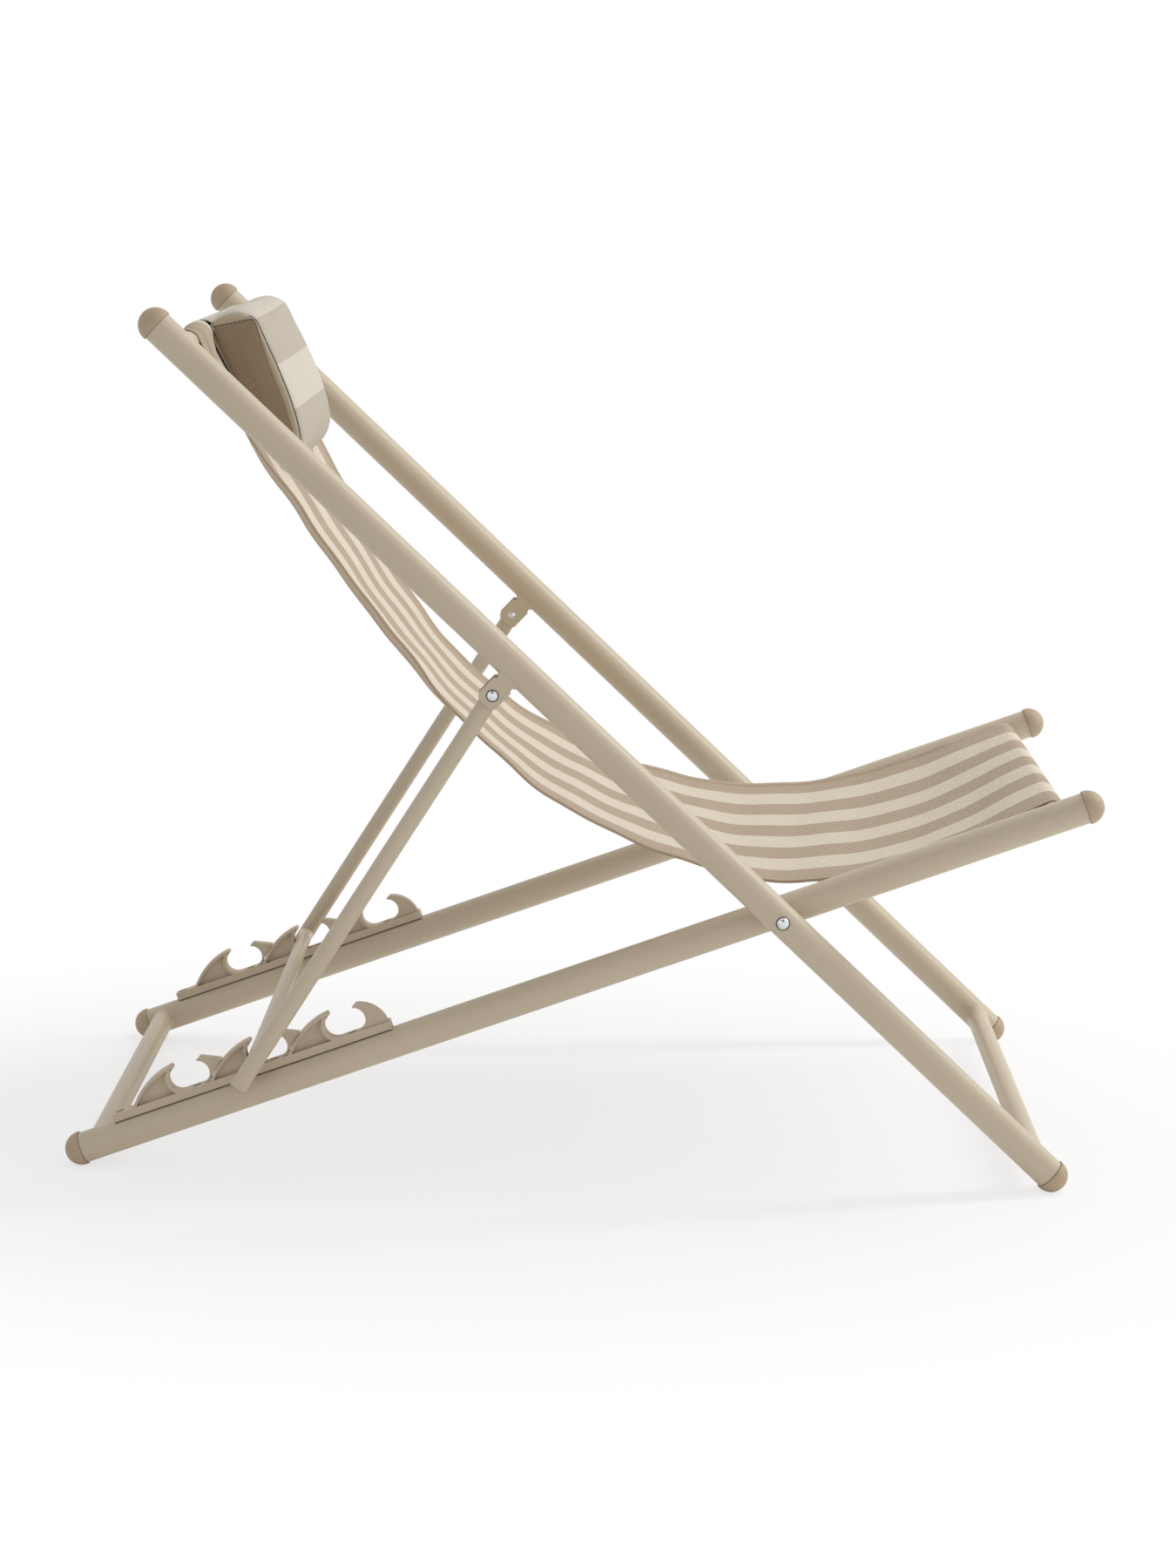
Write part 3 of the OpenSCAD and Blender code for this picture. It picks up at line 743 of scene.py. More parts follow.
def ripple(distance, y, hang):
    """Small unevenness of the slack cloth, none at the bars."""
    belly_depth, flute_height, flute_waves = 0.0030, 0.0004, 41
    share = distance / hang.length
    hold = math.sin(math.pi * min(max(share, 0), 1)) ** 0.5
    edge = abs(2 * y / hang.width)
    belly = -belly_depth * (1 - edge ** 2) * math.sin(math.pi * share)
    waves = sum(height * math.sin(forth * distance + across * y + start)
                for height, forth, across, start in WAVES)
    start = 2 if y > 0 else 0
    flute = flute_height * edge ** 6 * math.sin(flute_waves * distance + start)
    return hold * (belly + waves + flute)


def lengths(points):
    """Running length along each line of points."""
    steps = np.linalg.norm(np.diff(points, axis=0), axis=2)
    return np.concatenate([np.zeros((1, points.shape[1])), np.cumsum(steps, axis=0)])


def add_mesh(name, vertices, faces, looks=(), smooth=True):
    """A new piece of those corners and faces, with its materials."""
    mesh = bpy.data.meshes.new(name)
    mesh.from_pydata(vertices, [], faces, shade_flat=not smooth)
    for look in looks:
        mesh.materials.append(look)
    piece = bpy.data.objects.new(name, mesh)
    bpy.context.scene.collection.objects.link(piece)
    return piece


def lay_cloth(piece, places, looks):
    """Gives each face corner its metres across and along the cloth, and each face its look."""
    layer = piece.data.uv_layers.new(name="cloth")
    layer.uv.foreach_set("vector", np.array(places, np.float32).reshape(-1))
    piece.data.polygons.foreach_set("material_index", looks)


def shell(name, points, above, below, places, looks):
    """Closed sheet of cloth: rows x columns of middle points, with its depth on each side.

    The first look is for the side below and the rim, the last for the side above.
    """
    rows, columns = points.shape[:2]
    normals = np.cross(np.gradient(points, axis=1), np.gradient(points, axis=0))
    normals /= np.linalg.norm(normals, axis=2, keepdims=True)
    sides = [points + normals * above[..., None], points - normals * below[..., None]]
    vertices = np.concatenate([side.reshape(-1, 3) for side in sides])
    index = np.arange(rows * columns).reshape(rows, columns)
    top = np.stack([index[:-1, :-1], index[:-1, 1:], index[1:, 1:], index[1:, :-1]], -1)
    top = top.reshape(-1, 4)
    under = top[:, ::-1] + rows * columns
    shade_rim = np.concatenate([index[0, :], index[1:, -1], index[-1, -2::-1], index[-2:0:-1, 0]])
    next_rim = np.roll(shade_rim, -1)
    skirt = np.stack([shade_rim, shade_rim + rows * columns, next_rim + rows * columns, next_rim], -1)
    faces = np.concatenate([top, under, skirt])
    piece = add_mesh(name, vertices.tolist(), faces.tolist(), looks)
    spots = np.concatenate([places.reshape(-1, 2)] * 2)
    others = len(under) + len(skirt)
    lay_cloth(piece, spots[faces.reshape(-1)], [len(looks) - 1] * len(top) + [0] * others)
    return piece


# Width of the step where a turned hem ends
HEM_STEP = 0.0015


def sling_columns(cloth):
    """Places across the sling, closest at its edges, its hems' steps and the pillow's ends."""
    hem = spread(cloth.hem - HEM_STEP, cloth.hem + HEM_STEP, 3)
    columns = [0, 0.0012, 0.004, 0.008, *hem, 0.019]
    columns += spread(0.024, 0.060, 5) + spread(0.063, 0.078, 8)
    columns += spread(0.084, cloth.width / 2, 18)
    return columns + [cloth.width - column for column in reversed(columns[:-1])]


def sling_line(hang, cloth, y):
    """One lengthwise line of the sling, and each point's distance from the head bar."""
    line = tunnel(hang, cloth, y, True)
    run = [0] * len(line)
    for distance in spread(0, hang.length, 190):
        point, slope = hang.at(distance, y)
        stand_off = ripple(distance, y, hang) + loop_bulge(cloth, distance, y)
        stand_off += edge_curl(cloth, distance, y) - seat_slack(distance, y, hang)
        line.append(point + stand_off * out(slope))
        run.append(distance)
    front = tunnel(hang, cloth, y, False)
    line += reversed(front)
    run += [hang.length] * len(front)
    return [in_space(point, y) for point in line], run


def make_sling(cloth, finish):
    """The striped sling, from flap to flap round both bars."""
    hang = Hang(cloth)
    columns = sling_columns(cloth)
    lines, runs = zip(*(sling_line(hang, cloth, column - cloth.width / 2) for column in columns))
    points = np.array(lines).transpose(1, 0, 2)
    run = np.array(runs).T
    along = lengths(points)
    across = np.broadcast_to(np.array(columns), along.shape)
    hem_start, hem_fade, hem_rise = 0.004, 0.012, 0.0003
    from_end = np.minimum(run, hang.length - run)
    past_flap = np.clip((from_end - cloth.tunnel - cloth.flap - hem_start) / hem_fade, 0, 1)
    inward = np.minimum(across, cloth.width - across)
    turned = np.clip((cloth.hem + HEM_STEP / 3 - inward) / HEM_STEP, 0, 1) * past_flap
    half = np.full(along.shape, cloth.thick / 2)
    sling = shell(
        "sling_cloth", points, half + turned * hem_rise, half + turned * cloth.thick * 0.9,
        np.stack([across, along.mean(axis=1, keepdims=True) + 0 * along], -1),
        [sling_cloth("striped_sling_cloth", cloth, finish),
         # The back cloth's paler hems are painted light from below.
         sling_cloth("striped_sling_back_painted_light", cloth, finish, 1.32)])
    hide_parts("sling")
    start = hang.at(hang.length * 0.12, 0)[0]
    middle_seat = hang.at(hang.length * 0.62, 0)[0]
    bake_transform(sling)


# ---- Pillow ----

# Side outlines of the pillow from its back top corner: (down the sling, out from it) of the
# cover's seam, then of the side panel inside it
PILLOW_SIDE = (
    ((0.0005, 0.0003), (0.0010, 0.0035)), ((-0.0045, 0.0025), (-0.0036, 0.0055)),
    ((-0.0080, 0.0085), (-0.0041, 0.0076)), ((-0.0092, 0.0175), (-0.0022, 0.0160)),
    ((-0.0088, 0.0270), (0.0003, 0.0260)), ((-0.0060, 0.0370), (0.0030, 0.0365)),
    ((0.0003, 0.0445), (0.0054, 0.0450)), ((0.0065, 0.0488), (0.0076, 0.0475)),
    ((0.0140, 0.0498), (0.0140, 0.0470)), ((0.0300, 0.0492), (0.0300, 0.0440)),
    ((0.0585, 0.0478), (0.0585, 0.0397)), ((0.0835, 0.0455), (0.0830, 0.0372)),
    ((0.1060, 0.0420), (0.1050, 0.0335)), ((0.1260, 0.0370), (0.1240, 0.0292)),
    ((0.1410, 0.0310), (0.1370, 0.0243)), ((0.1510, 0.0220), (0.1450, 0.0185)),
    ((0.1565, 0.0110), (0.1495, 0.0105)), ((0.1560, 0.0025), (0.1495, 0.0040)),
    ((0.1500, 0.0003), (0.1460, 0.0022)), ((0.1000, 0.0000), (0.1000, 0.0020)),
    ((0.0500, 0.0000), (0.0500, 0.0020)),
)
PANEL_SPINE = ((0.028, 0.024), (0.128, 0.015))
FRONT_CORNER, BACK_CORNER = 7, 17
RIB_TILT = math.radians(14)

# Rings of points from a side panel's spine to the face, each with how far it stands out past the
# pillow's half width and the cloth of the next strip. Panel and band: share of the way from the
# panel's edge to the spine or to the rim. Edge: distance inside the panel. Cover: inside the seam
PANEL_RINGS = ((1, 0.0016, "panel"), (0.75, 0.0016, "panel"), (0.5, 0.0015, "panel"),
               (0.25, 0.0012, "panel"))
EDGE_RINGS = ((0.0045, 0.0008, "panel"), (0.0020, 0.0003, "panel"), (0.0012, -0.0008, "sewn"))
# The gap strips are painted shade: dark cloth in the seam's crease.
BAND_RINGS = ((0, -0.0007, "band"), (0.16, 0.0003, "band"), (0.50, 0.0005, "band"),
              (0.82, -0.0004, "band"), (1, -0.0016, "gap"))
COVER_RINGS = ((0.0015, -0.0036, "gap"), (0.0008, -0.0042, "face"), (-0.0005, -0.0052, "face"),
               (-0.0013, -0.0072, "face"), (-0.0020, -0.0106, "face"), (-0.0024, -0.0160, "face"))
RIM_INSET, FACE_CROWN = 0.0017, 0.0026


def smooth_curve(a, b, c, d, share):
    """Point between b and c on a smooth curve through four points."""
    return 0.5 * (2 * b + (c - a) * share + (2 * a - 5 * b + 4 * c - d) * share ** 2
                  + (3 * b - a - 3 * c + d) * share ** 3)


def pillow_loops():
    """Points round the seam and the side panel, with the control point before each."""
    step = 0.0034
    seam, panel = (np.array(side) for side in zip(*PILLOW_SIDE))
    count = len(seam)
    seam_loop, panel_loop, owner = [], [], []
    for k in range(count):
        near = [seam[(k + j) % count] for j in (-1, 0, 1, 2)]
        pieces = max(2, round(float(np.linalg.norm(near[2] - near[1])) / step))
        for share in np.arange(pieces) / pieces:
            seam_loop.append(smooth_curve(*near, share))
            panel_loop.append(between(panel[k], panel[(k + 1) % count], share))
            owner.append(k)
    return np.array(seam_loop), np.array(panel_loop), owner


def outward(loop):
    """Unit directions that point out of a closed loop."""
    along = np.roll(loop, -1, axis=0) - np.roll(loop, 1, axis=0)
    away = np.stack([-along[:, 1], along[:, 0]], -1)
    return away / np.linalg.norm(away, axis=1, keepdims=True)


def pillow_rings(pillow, seam, panel):
    """Rings from one side panel over the face to the other: (loop, y, kind of the next strip)."""
    half = pillow.width / 2
    top, bottom = (np.array(point) for point in PANEL_SPINE)
    spine = bottom - top
    share = np.clip(((panel - top) @ spine) / (spine @ spine), 0, 1)
    inward = top + share[:, None] * spine - panel
    unit = inward / np.linalg.norm(inward, axis=1, keepdims=True)
    away = outward(seam)
    shade_rim = seam - away * RIM_INSET
    # The flange stretches the dark panel cloth out beside the pillow's back: a dark sheet of painted shade.
    shade_flange_rise, shade_flange_run = 0.003, 0.060
    shade_flange = pillow.shade_flange * np.clip(1 - seam[:, 1] / shade_flange_rise, 0, 1) * np.clip(
        1 - (seam[:, 0] / shade_flange_run) ** 2, 0, 1)

    def wide(loop, amount=0):
        """Adds a third column: how far each point stands out beyond its ring."""
        return np.column_stack([loop, shade_flange * amount])

    places = [wide(panel + inward * part) for part, _, _ in PANEL_RINGS]
    places += [wide(panel + unit * inset) for inset, _, _ in EDGE_RINGS]
    places += [wide(between(panel, shade_rim, part), part) for part, _, _ in BAND_RINGS]
    places += [wide(seam - away * inset, inset > 0.0010) for inset, _, _ in COVER_RINGS]
    table = PANEL_RINGS + EDGE_RINGS + BAND_RINGS + COVER_RINGS
    side = [(loop, half + rise, kind) for loop, (_, rise, kind) in zip(places, table)]
    right = [(loop, -y, kind) for loop, y, kind in side]
    kinds = [kind for _, _, kind in side]
    left = [(loop, y, kind) for (loop, y, _), kind in zip(reversed(side), kinds[-2::-1] + ["panel"])]
    end = side[-1][1]
    crown = wide(seam + away * FACE_CROWN)
    return right + [(crown, y, "face") for y in spread(-end, end, 46)[1:-1]] + left


def stand_rings(rings, hang, cloth, pillow):
    """Each ring point in space, and its place: down the sling, out from it and across."""
    gap, depth = 0.0004, 0.045
    vertices, spots = [], []
    for loop, y, _ in rings:
        skew = -pillow.skew * y / pillow.width
        for u, w, more in loop:
            place = y + math.copysign(more, y)
            point, slope = hang.at(u, place)
            lift = cloth.thick / 2 + gap + max(w, 0) * (1 + skew / depth)
            if more:
                lift += loop_bulge(cloth, u, place)
            vertices.append(in_space(point + lift * out(slope), place))
            spots.append((u, w, place))
    return vertices, spots


def strip_kind(kind, owner, beside):
    """Cloth of one face of a strip: panels close the back, bands close the top of the gap."""
    if owner >= BACK_CORNER - 1 and beside or kind == "sewn" and owner >= FRONT_CORNER:
        return "panel"
    if kind == "gap" and owner < FRONT_CORNER - 1:
        return "band"
    return kind


def pillow_faces(rings, owner, spots, run, width_run, ends):
    """Faces between the rings, with the cloth of each and its corners' places on that cloth."""
    count = len(owner)
    faces, kinds, places = [], [], []
    for r, (ring_before, ring_after) in enumerate(zip(rings, rings[1:])):
        beside = abs(ring_before[1] + ring_after[1]) / 2 > ends
        for k in range(count):
            n = (k + 1) % count
            kind = strip_kind(ring_before[2], owner[k], beside)
            corners = ((r, k, k), (r, n, k + 1), (r + 1, n, k + 1), (r + 1, k, k))
            faces.append([row * count + column for row, column, _ in corners])
            kinds.append(kind)
            for row, column, place in corners:
                u, w, y = spots[row * count + column]
                if kind == "panel":
                    places.append((u * math.sin(RIB_TILT) + w * math.cos(RIB_TILT),
                                   u * math.cos(RIB_TILT) - w * math.sin(RIB_TILT)))
                elif kind == "face":
                    places.append((y, run[place]))
                else:
                    places.append((run[place], width_run[row]))
    return faces, kinds, places


def pillow_looks(cloth, finish, front_corner):
    """The pillow's materials by kind; its stripes start at the front corner."""
    return {
        "face": pillow_cloth("pillow_face_cloth", cloth, finish, [
            front_corner + edge for edge in (0.0012, 0.0535, 0.1030)]),
        "band": mesh_cloth("pillow_mesh_band", finish.mesh_band),
        "panel": plain_cloth("pillow_panel_cloth", cloth, finish.panel, 0.42),
        # Painted shade in the seam's crease.
        "gap": plain_cloth("pillow_seam_painted_shade", cloth, shade(finish.thread, 0.30), 0.5),
        "sewn": sewn_line("pillow_sewn_line", cloth, finish),
    }


def hold_seams(piece, rings, spots):
    """Groups the points that the filling doesn't move: the back, the bands and the seams."""
    count = len(spots) // len(rings)
    kinds = [ring[2] for ring in rings]

    def loose(r):
        """Whether a ring lies inside the face or in a side panel."""
        return kinds[r] == kinds[r - 1] == "face" or "panel" in (kinds[r], kinds[r - 1])

    held = [v for v, (_, w, _) in enumerate(spots) if w < 0.004 or not loose(v // count)]
    piece.vertex_groups.new(name="seams").add(held, 1.0, "REPLACE")


def make_pillow(cloth, pillow, finish):
    """The wedge pillow: a striped cover, mesh bands and ribbed side panels."""
    seam, panel, owner = pillow_loops()
    rings = pillow_rings(pillow, seam, panel)
    vertices, spots = stand_rings(rings, Hang(cloth), cloth, pillow)
    run = np.cumsum([0, *np.linalg.norm(np.roll(seam, -1, axis=0) - seam, axis=1)])
    width_run = np.cumsum([0] + [
        math.hypot(float(np.linalg.norm(b[0] - a[0], axis=1).max()), b[1] - a[1])
        for a, b in zip(rings, rings[1:])])
    ends = pillow.width / 2 - 0.012
    faces, kinds, places = pillow_faces(rings, owner, spots, run, width_run, ends)
    looks = pillow_looks(cloth, finish, run[owner.index(FRONT_CORNER)])
    piece = add_mesh("pillow_cover", vertices, faces, looks.values())
    order = list(looks)
    lay_cloth(piece, places, [order.index(kind) for kind in kinds])
    hold_seams(piece, rings, spots)
    close_ends(piece)
    swell(piece, pillow.pressure, pillow.swell)
    piece.vertex_groups.clear()
    subdivide(piece)
    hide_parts("pillow")
    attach(piece, "back_frame")


def close_ends(piece):
    """Joins the points that meet on the spine of each side panel."""
    work = bmesh.new()
    work.from_mesh(piece.data)
    bmesh.ops.remove_doubles(work, verts=work.verts, dist=0.00005)
    bmesh.ops.recalc_face_normals(work, faces=work.faces)
    work.to_mesh(piece.data)
    work.free()


def swell(piece, pressure, most):
    """Blows the cover up a little between its held seams."""
    scene = bpy.context.scene
    mesh = piece.data
    rest = np.array([v.co[:] for v in mesh.vertices])
    modifier = piece.modifiers.new("swell", "CLOTH")
    settings = modifier.settings
    settings.vertex_group_mass = "seams"
    settings.quality = 6
    settings.mass = 0.3
    settings.tension_stiffness = settings.compression_stiffness = 30
    settings.shear_stiffness = 15
    settings.bending_stiffness = 4
    settings.use_pressure = True
    settings.uniform_pressure_force = pressure
    settings.effector_weights.gravity = 0
    last = 20
    modifier.point_cache.frame_start, modifier.point_cache.frame_end = 1, last
    for number in range(1, last + 1):
        scene.frame_set(number)
    shaped = piece.evaluated_get(bpy.context.evaluated_depsgraph_get())
    moved = np.array([v.co[:] for v in shaped.to_mesh().vertices]) - rest
    shaped.to_mesh_clear()
    far = np.linalg.norm(moved, axis=1, keepdims=True)
    moved *= np.minimum(1, most / np.maximum(far, 1e-9))
    piece.modifiers.remove(modifier)
    scene.frame_set(1)
    mesh.vertices.foreach_set("co", (rest + moved).reshape(-1))
    mesh.update()


def subdivide(piece):
    """Replaces a piece's mesh by one that is subdivided once."""
    modifier = piece.modifiers.new("smooth", "SUBSURF")
    modifier.levels = modifier.render_levels = 1
    modifier.uv_smooth = "PRESERVE_BOUNDARIES"
    finer = bpy.data.meshes.new_from_object(
        piece.evaluated_get(bpy.context.evaluated_depsgraph_get()))
    piece.modifiers.clear()
    coarse = piece.data
    piece.data = finer
    bpy.data.meshes.remove(coarse)


def strap_line(hang, cloth, pillow, y):
    """One lengthwise line of the strap, from its seam on the pillow to its tail."""
    gap = 0.0006
    radius = BAR_RADIUS + cloth.thick + gap + pillow.strap_thick / 2
    leave = math.radians(74)
    point, slope = hang.at(0, y)
    centre = point - hang.reach * out(slope)
    ahead, up = out(slope), -down(slope)
    end, end_slope = hang.at(pillow.strap_tail, y)
    end = end - (cloth.thick / 2 + pillow.strap_thick / 2 + gap) * out(end_slope)
    leg = end - centre
    bearing = math.atan2(leg @ up, leg @ ahead) % (2 * math.pi)
    touch = bearing - math.acos(radius / np.linalg.norm(leg))

    def shade_rim(angle):
        """Point of the strap round the bar, which it clears most at the crown."""
        loose = radius + pillow.strap_slack * max(0, math.sin(angle)) ** 2
        return centre + loose * (math.cos(angle) * ahead + math.sin(angle) * up)

    seam_out, seam_up, slack = 0.0085, 0.0088, 0.15
    seam = centre + (hang.reach + seam_out) * ahead + seam_up * up
    leap = shade_rim(leave) - seam
    bow = np.array([leap[1], -leap[0]]) * slack
    line = [seam + leap * t + bow * math.sin(math.pi * t) for t in spread(0, 1, 10)[:-1]]
    line += [shade_rim(angle) for angle in spread(leave, touch, 30)]
    line += [between(shade_rim(touch), end, t) for t in spread(0, 1, 18)[1:]]
    return [in_space(point, y) for point in line]


def make_strap(cloth, pillow, finish):
    """The strap from the pillow's top edge over the head bar to the sling's back."""
    hang = Hang(cloth)
    half = pillow.strap_width / 2
    columns = [-half, -half + 0.002, *spread(-half + 0.006, half - 0.006, 24), half - 0.002, half]
    points = np.array([strap_line(hang, cloth, pillow, y) for y in columns]).transpose(1, 0, 2)
    along = lengths(points)
    across = np.broadcast_to(np.array(columns) + half, along.shape)
    half_thick = np.full(along.shape, pillow.strap_thick / 2)
    strap = shell(
        "pillow_strap_cloth", points, half_thick, half_thick, np.stack([across, along], -1),
        [strap_cloth("strap_cloth", cloth, shade(finish.pillow_cream, 1.2), finish,
                     (0.0045, 0.0120))])
    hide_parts("pillow_strap")
    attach(strap, "back_frame")


# ---- Welds and thin trim ----


def weld(name, bar, tube, side, body, look):
    """Fillet of weld where a bar meets the inside of a tube."""
    size, sunk, turns, steps = 0.0034, 0.0004, 72, 6
    centre = side_point(bar)
    bar_radius, tube_radius = thickness(bar) / 2, breadth(tube) / 2
    tube_y, tube_dir = middle(tube).y, run_of(tube)
    tube_out = np.array([-tube_dir[1], tube_dir[0]])
    vertices = []
    for k in range(turns):
        angle = 2 * math.pi * k / turns
        bead = size * (1 + 0.10 * math.sin(angle * 17) + 0.05 * math.sin(angle * 7 + 1))
        spoke = math.cos(angle) * tube_dir + math.sin(angle) * tube_out
        rise = abs(math.sin(angle))
        for turn in spread(0, math.pi / 2, steps + 1):
            radius = bar_radius - sunk + bead * (1 - math.sin(turn)) * 0.97
            in_tube = math.sqrt(max(tube_radius ** 2 - (radius * rise) ** 2, 0))
            y = tube_y - side * (in_tube - sunk + bead * (1 - math.cos(turn)))
            vertices.append(in_space(centre + radius * spoke, y))
    faces = []
    row = steps + 1
    for k in range(turns):
        n = (k + 1) % turns
        for j in range(steps):
            face = (k * row + j, n * row + j, n * row + j + 1, k * row + j + 1)
            faces.append(face if side == RIGHT else face[::-1])
    piece = add_mesh(name, vertices, faces, [look])
    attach(piece, body)


# How far thin trim stands proud of the solid that it lies on
PROUD = 0.0001


def spokes(axis, count):
    """Unit directions that stand round an axis."""
    first = axis.orthogonal().normalized()
    second = axis.cross(first)
    angles = [2 * math.pi * k / count for k in range(count)]
    return [first * math.cos(angle) + second * math.sin(angle) for angle in angles]


def trim(name, vertices, faces, body, look, smooth=True):
    """A thin piece of trim on a body."""
    piece = add_mesh(name, vertices, faces, [look], smooth)
    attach(piece, body)


def ring(name, centre, axis, radius, wire, body, look):
    """A thin ring round an axis, such as a painted shade line round a joint."""
    axis = Vector(axis).normalized()
    turns, sides = 48, 8
    vertices, faces = [], []
    for k, spoke in enumerate(spokes(axis, turns)):
        for j in range(sides):
            around = 2 * math.pi * j / sides
            away = radius + wire * math.cos(around)
            vertices.append(Vector(centre) + spoke * away + axis * (wire * math.sin(around)))
            n, m = (k + 1) % turns, (j + 1) % sides
            faces.append((k * sides + j, n * sides + j, n * sides + m, k * sides + m))
    trim(name, vertices, faces, body, look)


def rod(name, start, end, wire, body, look):
    """A thin straight strip between two places, such as a painted shade line along a rack."""
    start, end = Vector(start), Vector(end)
    sides = 8
    around = spokes((end - start).normalized(), sides)
    vertices = [place + spoke * wire for place in (start, end) for spoke in around]
    faces = [(j, (j + 1) % sides, sides + (j + 1) % sides, sides + j) for j in range(sides)]
    faces += [tuple(reversed(range(sides))), tuple(range(sides, 2 * sides))]
    trim(name, vertices, faces, body, look, smooth=False)


def rack_shade_lines(rack, look):
    """Dark strips along both sides of a notch rack, where it sits on its tube: painted shade in the gap."""
    spots = corners_of(rack)
    from_middle = np.abs(spots[:, 1])
    run, stand = run_of("seat"), out(-SEAT_SLOPE)
    for word, y in (("inner", from_middle.min()), ("outer", from_middle.max())):
        flank = spots[np.abs(from_middle - y) < 0.0002]
        height = (flank[:, [0, 2]] - PIVOT) @ stand
        foot = flank[height < height.min() + 0.0004]
        along = (foot[:, [0, 2]] - PIVOT) @ run
        across = math.copysign(y, foot[0, 1])
        ends = [in_space(PIVOT + reach * run + (height.min() + PROUD) * stand, across)
                for reach in (along.min() + 0.001, along.max() - 0.001)]
        rod(f"{rack}_gasket_{word}", *ends, wire=0.00050, body="base_frame", look=look)


def head_shade_ring(head, side, look):
    """Thin dark ring round the outer head of a rivet or bolt: painted shade where the head seats."""
    spots = corners_of(head)
    centre = middle(head)
    from_axis = np.hypot(spots[:, 0] - centre.x, spots[:, 2] - centre.z)
    seat = np.abs(spots[from_axis > 0.995 * from_axis.max(), 1]).min() + 2 * PROUD
    ring(f"{head}_washer", (centre.x, side * seat, centre.z), (0, 1, 0),
         radius=from_axis.max() + PROUD, wire=0.00050, body="back_frame", look=look)


def cap_shade_ring(cap, tube, body, look):
    """Thin dark ring between a cap's lip and the tube it closes: painted shade under the lip."""
    radius, centre = breadth(tube) / 2, middle(tube)
    run = Vector(in_space(run_of(tube), 0))
    spots = corners_of(cap) - np.array(centre)
    along = spots @ np.array(run)
    from_axis = np.linalg.norm(spots - np.outer(along, np.array(run)), axis=1)
    edge = float(min(along[from_axis > radius + 0.0003], key=abs))
    ring(f"{cap}_gasket", centre + run * edge, run,
         radius=radius + PROUD, wire=0.00036, body=body, look=look)


def screws_of(node):
    """Corners of each separate screw in a solid, from the rear to the front."""
    work = bmesh.new()
    work.from_mesh(NODES[node].data)
    bmesh.ops.remove_doubles(work, verts=work.verts, dist=1e-6)
    waiting = dict.fromkeys(work.verts)
    screws = []
    while waiting:
        screw, front = [], [waiting.popitem()[0]]
        while front:
            corner = front.pop()
            screw.append(corner.co.copy())
            for edge in corner.link_edges:
                other = edge.other_vert(corner)
                if other in waiting:
                    del waiting[other]
                    front.append(other)
        screws.append(screw)
    work.free()
    return sorted(screws, key=lambda screw: min(corner.x for corner in screw))


def screw_shade_rims(node, look):
    """Dark rims round the heads of a rack's screws: painted shade in their countersinks."""
    head_depth = 0.0030
    stand = Vector(in_space(out(-SEAT_SLOPE), 0))
    for number, screw in enumerate(screws_of(node), 1):
        highest = max(corner.dot(stand) for corner in screw)
        top = [corner for corner in screw if corner.dot(stand) > highest - head_depth]
        centre = sum(top, Vector()) / len(top)
        away = [(corner - centre) - stand * (corner - centre).dot(stand) for corner in top]
        wide = max(spoke.length for spoke in away)
        foot = min(corner.dot(stand) for corner, spoke in zip(top, away)
                   if spoke.length > 0.98 * wide)
        centre += stand * (foot - centre.dot(stand) + 2 * PROUD)
        ring(f"{node}_rim_{number}", centre, stand,
             radius=wide + 4 * PROUD, wire=0.00080, body="base_frame", look=look)


# ---- Operators ----


class LoungerOperator:
    """What all the lounger's operators share."""

    bl_options = {"REGISTER", "UNDO"}


class LOUNGER_OT_finishes(LoungerOperator, bpy.types.Operator):
    """Gives the tubes, moulded parts and fasteners their finishes"""

    bl_idname = "lounger.finishes"
    bl_label = "Frame Finishes"

    def execute(self, context):
        finish = context.scene.lounger_finish
        looks = {
            "powder_coat": powder_coat("frame_powder_coat", finish.frame),
            "moulded_plastic": moulded("moulded_caps", finish.plastic),
            "zinc": bright_zinc("bright_zinc", finish.zinc),
        }
        # Paler copy of the moulded plastic for the racks, partly painted light on their flanks.
        racks = moulded("moulded_racks_painted_paler", finish.rack)
        for part in frame["record"]["subparts"]:
            node = part["node"]
            look = racks if node in ("rack_left", "rack_right") else looks.get(part["material_slot"])
            if look:
                for slot in NODES[node].material_slots:
                    slot.material = look
        return {"FINISHED"}


class LOUNGER_OT_welds(LoungerOperator, bpy.types.Operator):
    """Adds the weld fillets where the bars meet the tubes"""

    bl_idname = "lounger.welds"
    bl_label = "Welds"

    def execute(self, context):
        coat = bpy.data.materials["frame_powder_coat"]
        for body, tube, bars, _ in SIDE_FRAMES:
            for bar in bars:
                for word, side in SIDES:
                    weld(f"{bar}_weld_{word}", bar, f"{tube}_{word}", side, body, coat)
        return {"FINISHED"}


class LOUNGER_OT_shade_rings(LoungerOperator, bpy.types.Operator):
    """Adds thin dark rings and strips of painted shade round heads, caps, screws and racks"""

    bl_idname = "lounger.gaskets"
    bl_label = "Painted Shade Rings"

    def execute(self, context):
        # Dark matte material for the painted shade rings and strips.
        shade_look = moulded("painted_shade_dark", (0.085, 0.068, 0.050))
        for word, side in SIDES:
            for head in ("prop_rivet", "pivot_bolt"):
                head_shade_ring(f"{head}_{word}", side, shade_look)
            for body, tube, _, caps in SIDE_FRAMES:
                for cap in caps:
                    cap_shade_ring(f"{cap}_{word}", f"{tube}_{word}", body, shade_look)
            screw_shade_rims(f"rack_screws_{word}", shade_look)
            rack_shade_lines(f"rack_{word}", shade_look)
        return {"FINISHED"}


